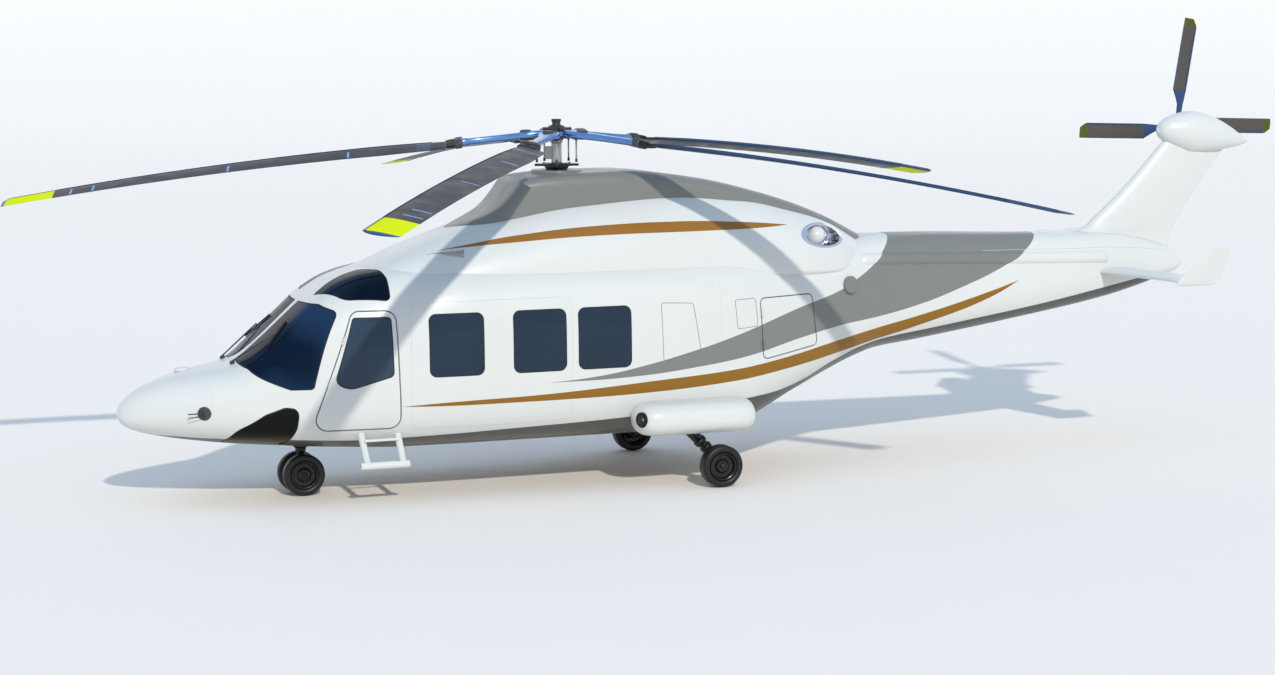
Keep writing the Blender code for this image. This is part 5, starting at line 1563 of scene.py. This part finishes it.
CUFF = [
    # reach, half width, half height, lift
    (1.030, 0.088, 0.036, 0.0), (1.04, 0.108, 0.050, 0.0), (1.10, 0.116, 0.050, 0.0),
    (1.118, 0.104, 0.042, 0.0),
]
PRONG = [
    # reach, half width, half height, lift
    (1.10, 0.044, 0.036, 0.0), (1.17, 0.050, 0.030, 0.0), (1.219, 0.058, 0.022, 0.0),
]
PRONG_ASIDE = 0.052
LINK_PLACE = (0.22, 0.06)
LINK_TURN = math.atan2(LINK_PLACE[1], LINK_PLACE[0])
LINK_PARTS = [
    # low and high end, radius, look
    (2.998, 3.270, 0.0092, "mast"),
    (2.998, 3.035, 0.0135, "cuff"),
    (3.235, 3.285, 0.0135, "cuff"),
]


def make_hub():
    """The mast, then an arm, a cuff, a damper and a pitch link for each blade."""
    make_mast()
    cover = [upright("hub_cover", HUB_COVER, 40, "brown"), upright("hub_cap", HUB_CAP, 40, "brown")]
    for i in range(len(BLADES)):
        angle = blade_azimuth(i)
        along = Vector((math.cos(angle), math.sin(angle), 0))
        across = Vector((-math.sin(angle), math.cos(angle), 0))
        # The arm's blue is a painted reflection of the sky
        yoke = bar_loft("yoke", along, across, YOKE, looks["metal_with_painted_sky_reflection"])
        middle = along * BEARING_REACH + Vector((0, 0, arm_height(BEARING_REACH)))
        bearing = turned("bearing", BEARING, UP, middle, 40, looks["cuff"])
        finish_piece(join(f"hub_arm_{i + 1}_yoke", [yoke, bearing]), "main_rotor", "rotor_metal")
        cuff = bar_loft(f"blade_cuff_{i + 1}", along, across, CUFF, looks["cuff"], ROOT_PITCH)
        finish_piece(cuff, "main_rotor", "rotor_metal")
        root = [bar_loft("prong", along, across, PRONG, looks["root"], ROOT_PITCH, aside)
                for aside in (-PRONG_ASIDE, PRONG_ASIDE)]
        root.append(blade_skin("root", i, 0.0004, 0.035, looks["root"], 0.0026, count=8))
        root.append(blade_skin("root_band", i, 0.0345, 0.066, looks["band_blue"], 0.0020, count=8))
        finish_piece(join(f"blade_root_{i + 1}_fork", root), "main_rotor", "blade_composite")
        low = Vector((0, 0, HUB_HEIGHT - 0.052))
        start, end = along * 0.40 + across * 0.075 + low, along * 0.15 + across * 0.10 + low
        cover.append(rod("damper", start, end, 0.026, looks["brown"], 24))
        ear = box("cover_arm", (0.07, -0.026, 3.346), (0.168, 0.026, 3.378), looks["brown"], 0.008)
        ear.rotation_euler = (0, 0, angle + math.radians(36))
        cover.append(ear)
        bpy.context.view_layer.update()
        foot = along * LINK_PLACE[0] + across * LINK_PLACE[1]
        link = [rod("link", foot + Vector((0, 0, low)), foot + Vector((0, 0, high)), radius, looks[look], 20)
                for low, high, radius, look in LINK_PARTS]
        finish_piece(join(f"pitch_link_{i + 1}_rod", link), "main_rotor", "rotor_metal")
    finish_piece(join("hub_cover_parts", cover), "main_rotor", "rotor_metal")
    make_swashplate()


def make_swashplate():
    """A small ring with five arms that reach out to the pitch links."""
    ring = upright("swashplate_ring", [
        # height, radius
        (2.9158, 0.070), (2.975, 0.070), (2.988, 0.075), (2.988, 0.120), (2.975, 0.135), (2.945, 0.135),
        (2.9158, 0.115),
    ], 60, "rim", closed=True)
    outline = [
        # along, aside
        (0.10, -0.050), (0.20, -0.022), (0.245, -0.020), (0.256, 0.0), (0.245, 0.020), (0.20, 0.022),
        (0.10, 0.050),
    ]
    points = [(x, y, z - 0.06 * max(0.20 - x, 0)) for z in (2.958, 2.984) for x, y in outline]
    arms = []
    for i in range(len(BLADES)):
        arm = mesh_object("swashplate_arm", points, slab_faces(len(outline)), looks["rim"])
        arm.rotation_euler = (0, 0, blade_azimuth(i) + LINK_TURN)
        arms.append(soften(arm, 0.004))
    bpy.context.view_layer.update()
    finish_piece(join("swashplate_parts", [ring] + arms), "airframe", "rotor_metal", "swashplate")


TAIL_BLADE = [
    # part, look, then reach, centre, half width and half height of each section
    # The blue root and edges are a painted reflection of the sky on metal
    ("root", "edge_painted_sky_reflection", [(0.09, 0.0, 0.034, 0.020), (0.20, 0.0, 0.036, 0.020), (0.29, -0.004, 0.040, 0.019),
                           (0.36, -0.018, 0.060, 0.017), (0.45, -0.042, 0.089, 0.0150)]),
    ("blade", "tail_blade", [(0.45, -0.043, 0.090, 0.0155), (0.70, -0.043, 0.090, 0.0145),
                             (1.00, -0.043, 0.090, 0.0130), (1.24, -0.043, 0.090, 0.0120)]),
    # The tip is yellow, darkened to olive as painted shade
    ("tip", "yellow_painted_shade", [(1.24, -0.043, 0.090, 0.0120), (1.27, -0.047, 0.086, 0.0115),
                      (1.335, -0.071, 0.062, 0.0065)]),
    ("edge", "edge_painted_sky_reflection", [(0.45, 0.038, 0.0105, 0.0125), (0.80, 0.038, 0.0105, 0.0115),
                           (1.24, 0.038, 0.0105, 0.0100)]),
    ("rear_edge", "edge_painted_sky_reflection", [(0.45, -0.125, 0.0090, 0.0075), (0.80, -0.125, 0.0090, 0.0070),
                                (1.24, -0.125, 0.0090, 0.0060)]),
]


def make_tail_rotor():
    centre = Vector(TAIL_HUB)
    # The tail hub's blue is a painted reflection of the sky
    hub = turned("tail_rotor_hub", [
        # along the axis, radius
        (-0.078, 0.050), (-0.03, 0.053), (-0.029, 0.100), (-0.02, 0.108), (0.040, 0.108), (0.05, 0.100),
        (0.055, 0.060), (0.085, 0.042), (0.09, 0.030),
    ], ASIDE, centre, 48, looks["metal_with_painted_sky_reflection"])
    finish_piece(hub, "tail_rotor_assembly", "rotor_metal", "tail_rotor")
    for pair, lean in enumerate(TAIL_PAIRS):
        for half, turn in enumerate((0, 180)):
            angle = math.radians(lean + turn)
            along = Vector((math.sin(angle), 0, math.cos(angle)))
            across = Vector((math.cos(angle), 0, -math.sin(angle)))
            for part, look, rows in TAIL_BLADE:
                rings = []
                for reach, aside, wide, high in rows:
                    middle = centre + along * reach + across * aside
                    section = wing_section(-wide, wide, high, count=16)
                    rings.append([middle + across * a + Vector((0, b, 0)) for a, b in section])
                blade = loft(f"tail_blade_{pair}_{half}_{part}", rings, looks[look], smooth=40)
                slot = "rotor_metal" if look == "edge_painted_sky_reflection" else "blade_composite"
                finish_piece(blade, "tail_rotor_assembly", slot)


# Cabin
def make_floor():
    rings = body.rings(-3.97, 1.449, step=0.08, grow=-WALL - 0.0015)
    floor = loft("cabin_floor_panel", rings, looks["floor"])
    keep(floor, box("floor_slice", (-3.05, -2, 0.16), (2, 2, 0.22)))
    pads = [box(f"pad_{i}", (front, -0.6, 0.19), (rear, 0.6, 0.224))
            for i, (front, rear) in enumerate(((-1.30, -0.50), (0.20, 0.75)))]
    add(floor, *pads)
    finish_piece(shade(floor, 30), "airframe", "floor_panel", "cabin_floor")


PLACES = (-0.6, -0.2, 0.2, 0.6)
BENCHES = [
    # node, x of the back, way that it faces
    ("cabin_seats_front", -1.90, 1),
    ("cabin_seats_middle", 0.10, -1),
    ("cabin_seats_rear", 1.35, -1),
]
SEAT_FOOT = 0.2203
CUSHION_SIZES = {
    # long, wide, thick
    "seat": (0.37, 0.355, 0.085),
    "back": (0.47, 0.325, 0.060),
    "rest": (0.12, 0.200, 0.045),
}
CUSHION_CAP = 0.014
CHANNELS = {"seat": (-0.10, 0.0, 0.10), "back": (-0.14, -0.05, 0.04, 0.13), "rest": ()}


def cushion_shape(key):
    """A cushion's mesh: a rounded pad, blown up as cloth, then sewn into channels across."""
    long, wide, thick = CUSHION_SIZES[key]
    corner = Vector((long / 2, wide / 2, thick / 2))
    pad = box(f"{key}_pad", -corner, corner, looks["seat"], 0.026, 4)
    remesh = pad.modifiers.new("remesh", "REMESH")
    remesh.mode = "VOXEL"
    remesh.voxel_size = 0.010
    remesh.use_smooth_shade = True
    shape = evaluated(pad)
    pad.modifiers.clear()
    pad.data = shape
    start = np.array([tuple(v.co) for v in shape.vertices])
    moved = start
    moved = blown_up(pad, start)
    for x in CHANNELS[key]:
        over = np.clip((moved[:, 2] / (thick / 2)), 0, 1)
        moved[:, 2] -= 0.007 * over * np.exp(-((moved[:, 0] - x) / 0.009) ** 2)
    shape.vertices.foreach_set("co", moved.ravel())
    shape.update()
    bpy.data.objects.remove(pad)
    return shape


def blown_up(pad, start):
    """Where the pad's points go when pressure fills it, each no further than the cap."""
    scene = bpy.context.scene
    first = scene.frame_current
    cloth = pad.modifiers.new("cloth", "CLOTH")
    cloth.settings.use_pressure = True
    cloth.settings.uniform_pressure_force = 4
    cloth.settings.effector_weights.gravity = 0
    for number in range(1, 21):
        scene.frame_set(number)
    end = np.array([tuple(v.co) for v in evaluated(pad).vertices])
    pad.modifiers.clear()
    scene.frame_set(first)
    step = end - start
    length = np.linalg.norm(step, axis=1)[:, None]
    return start + step * np.minimum(1, CUSHION_CAP / np.maximum(length, 1e-9))


def place_cushion(name, shape, centre, lean, way):
    """A copy of a cushion, leaning back by an angle; way is the way that the seat faces."""
    piece = placed(name, shape.copy())
    turn = Matrix.Rotation(math.radians(lean), 4, "Y")
    if way < 0:
        turn = Matrix.Rotation(math.pi, 4, "Z") @ turn
    piece.data.transform(Matrix.Translation(centre) @ turn)
    finish_piece(piece, "airframe", "seat_fabric")


def plate(name, outline, middle, half, material):
    """A side outline, as (x, z), made half wide to each side of a middle, with soft edges."""
    points = [Vector(point) for point in outline]
    piece = prism(name, points, "side", 1, middle - half, middle + half, material)
    return soften(piece, 0.006)


BENCH_SHELL = [(0.060, 0.50), (0.004, 0.76), (0.004, 1.20), (0.022, 1.20), (0.026, 0.77), (0.100, 0.52)]
BENCH_STANDS = (-0.7, -0.4, 0.0, 0.4, 0.7)
BENCH_LEGS = [
    # how far from the back its top and its foot are
    (0.12, 0.070),
    (0.44, 0.385),
]


def make_benches(shapes):
    """Four places in each row: a tubular stand, a back shell and two cushions each."""
    steel, panel_look, metal = looks["steel"], looks["panel"], looks["dark_metal"]
    for node, back, way in BENCHES:
        pieces = []
        for y in PLACES:
            shell = [(back + way * along, z) for along, z in BENCH_SHELL]
            pieces.append(plate("back_shell", shell, y, 0.170, panel_look))
            x0, x1 = sorted((back + way * 0.09, back + way * 0.54))
            pieces.append(box("seat_pan", (x0, y - 0.185, 0.512), (x1, y + 0.185, 0.536), panel_look, 0.006))
        for y in BENCH_STANDS:
            for top, foot in BENCH_LEGS:
                start, end = (back + way * top, y, 0.515), (back + way * foot, y, SEAT_FOOT + 0.012)
                pieces.append(rod("leg", start, end, 0.013, steel, 16))
            x0, x1 = sorted((back + way * 0.055, back + way * 0.395))
            low, high = (x0, y - 0.02, SEAT_FOOT), (x1, y + 0.02, SEAT_FOOT + 0.018)
            pieces.append(box("floor_rail", low, high, metal, 0.003))
        for along, _ in BENCH_LEGS:
            x = back + way * along
            pieces.append(rod("cross_tube", (x, -0.78, 0.50), (x, 0.78, 0.50), 0.014, steel, 16))
        finish_piece(join(f"{node}_stand", pieces), "airframe", "step_metal", node)
        for i, y in enumerate(PLACES):
            place_cushion(f"{node}_seat_{i}", shapes["seat"], (back + way * 0.335, y, 0.592), 0, way)
            place_cushion(f"{node}_back_{i}", shapes["back"], (back + way * 0.078, y, 0.945), 83.5, way)


PILOT_SHELL = [(-2.215, 0.47), (-2.105, 0.82), (-2.058, 1.29), (-2.076, 1.29), (-2.128, 0.83), (-2.260, 0.47)]
PILOT_CUSHIONS = [
    # cushion, x, z, lean
    ("seat", -2.490, 0.522, 3),
    ("back", -2.192, 0.835, 76),
    ("rest", -2.105, 1.205, 83),
]


def make_pilot_seats(shapes):
    for name, side in SIDES.items():
        y = side * 0.495
        pan = box("seat_pan", (-2.69, y - 0.21, 0.455), (-2.23, y + 0.21, 0.480), looks["panel"], 0.008)
        pieces = [plate("back_shell", PILOT_SHELL, y, 0.205, looks["panel"]), pan]
        for middle in (y - 0.16, y + 0.16):
            low, high = (-2.615, middle - 0.02, SEAT_FOOT), (-2.225, middle + 0.02, SEAT_FOOT + 0.018)
            pieces.append(box("floor_rail", low, high, looks["dark_metal"], 0.003))
            for top, foot in ((-2.585, -2.56), (-2.27, -2.27)):
                start, end = (top, middle, 0.458), (foot, middle, SEAT_FOOT + 0.012)
                pieces.append(rod("leg", start, end, 0.014, looks["steel"], 16))
        finish_piece(join(f"pilot_seat_{name}_stand", pieces), "airframe", "step_metal", f"pilot_seat_{name}")
        for key, x, z, lean in PILOT_CUSHIONS:
            place_cushion(f"pilot_seat_{name}_{key}", shapes[key], (x, y, z), lean, -1)


PANEL_CASE = [(-3.415, 0.60), (-3.415, 0.90), (-3.36, 0.965), (-3.20, 0.965), (-3.215, 0.58), (-3.25, 0.552)]
PEDESTAL = [(-3.25, 0.42), (-3.24, 0.70), (-3.18, 0.718), (-2.74, 0.60), (-2.722, 0.42)]
SCREENS = (-0.42, -0.145, 0.145, 0.42)
KNOB_ROWS = 5
KNOB_PLACES = (-0.08, 0.0, 0.08)


def make_console():
    """Instrument panel with four screens, and a pedestal with knobs between the pilots."""
    pieces = [
        plate("panel_case", PANEL_CASE, 0.0, 0.575, looks["panel"]),
        plate("pedestal", PEDESTAL, 0.0, 0.137, looks["panel"]),
        box("pedestal_foot", (-2.998, -0.135, SEAT_FOOT), (-2.726, 0.135, 0.44), looks["panel"], 0.010),
    ]
    for y in SCREENS:
        low, high = (-3.214, y - 0.115, 0.700), (-3.2005, y + 0.115, 0.915)
        pieces.append(box("screen", low, high, looks["screen"], 0.006))
    for row in range(KNOB_ROWS):
        for y in KNOB_PLACES:
            x = -3.12 + row * 0.075
            z = 0.718 - (x + 3.18) * 0.2682
            start, end = (x, y, z - 0.002), (x + 0.004, y, z + 0.016)
            pieces.append(rod("knob", start, end, 0.011, looks["dark_metal"], 16))
    finish_piece(join("instrument_console_parts", pieces), "airframe", "panel_black", "instrument_console")


def make_cabin():
    make_floor()
    make_console()
    shapes = {key: cushion_shape(key) for key in CUSHION_SIZES}
    make_benches(shapes)
    make_pilot_seats(shapes)


def main():
    make_shells()
    make_doors()
    make_windows()
    make_hinges()
    make_roof()
    make_exhausts()
    make_tail()
    make_sponsons()
    make_steps()
    make_main_gear()
    make_nose_gear()
    make_blades()
    make_hub()
    make_tail_rotor()
    make_lines()
    make_boom_rails()
    make_bumps()
    make_wipers()
    make_cabin()


# Camera, light and floor
def sky(world):
    """Soft light all round, white near the floor and bluer overhead."""
    nodes = Nodes(world.node_tree, "Generated")
    _, _, z = nodes.axes()
    share = nodes.math("POWER", z, SKY_POWER)
    share.node.use_clamp = True
    nodes.put(nodes.mix(share, SKY_LOW, SKY_HIGH), world.node_tree.nodes["Background"].inputs["Color"])


def make_camera(forward, right):
    camera = placed("camera", bpy.data.cameras.new("camera"))
    camera.data.lens = CAMERA_LENS
    camera.data.clip_end = CAMERA_CLIP
    pitch, roll = math.radians(CAMERA_PITCH), math.radians(CAMERA_ROLL)
    look = forward * math.cos(pitch) + Vector((0, 0, math.sin(pitch)))
    level_up = right.cross(look)
    across = right * math.cos(roll) + level_up * math.sin(roll)
    up = level_up * math.cos(roll) - right * math.sin(roll)
    turn = Matrix((across, up, -look)).transposed()
    camera.matrix_world = Matrix.Translation(CAMERA_PLACE) @ turn.to_4x4()
    bpy.context.scene.camera = camera
    return camera


def make_floor_sweep(forward, right):
    """A pale floor that curves up far behind."""
    profile = [(-FLOOR_REACH, 0.0), (SWEEP_START, 0.0)]
    for a in SWEEP_ANGLES:
        profile.append((SWEEP_START + SWEEP_RADIUS * math.sin(a), SWEEP_RADIUS * (1 - math.cos(a))))
    points, faces = [], []
    for ahead, height in profile:
        for side in (-FLOOR_REACH, FLOOR_REACH):
            place = forward * ahead + right * side
            points.append((place.x, place.y, FLOOR_Z - FLOOR_DROP + height))
    for i in range(len(profile) - 1):
        faces.append((2 * i, 2 * i + 1, 2 * i + 3, 2 * i + 2))
    mesh = bpy.data.meshes.new("floor")
    mesh.from_pydata(points, [], faces)
    mesh.shade_smooth()
    stone = Look("studio_floor", roughness=0.9, specular=0.1)
    stone.colour(stone.mix(stone.noise(0.05, 2.0), *FLOOR_COLOURS))
    mesh.materials.append(stone.material)
    placed("studio_floor", mesh)


def make_stage():
    yaw = math.radians(CAMERA_YAW)
    forward = Vector((math.sin(yaw), math.cos(yaw), 0))
    right = Vector((math.cos(yaw), -math.sin(yaw), 0))
    camera = make_camera(forward, right)
    make_floor_sweep(forward, right)
    azimuth, elevation = math.radians(KEY_AZIMUTH), math.radians(KEY_ELEVATION)
    level = math.cos(elevation)
    toward = Vector((math.cos(azimuth) * level, math.sin(azimuth) * level, math.sin(elevation)))
    key = placed("key", bpy.data.lights.new("key", "SUN"))
    key.data.energy = KEY_ENERGY
    key.data.angle = math.radians(KEY_SPREAD)
    key.data.color = KEY_COLOUR
    key.rotation_euler = toward.to_track_quat("Z", "Y").to_euler()
    world = bpy.data.worlds.new("studio")
    world.use_nodes = True
    sky(world)
    bpy.context.scene.world = world
    bpy.context.scene.view_settings.view_transform = "Standard"


main()
make_stage()
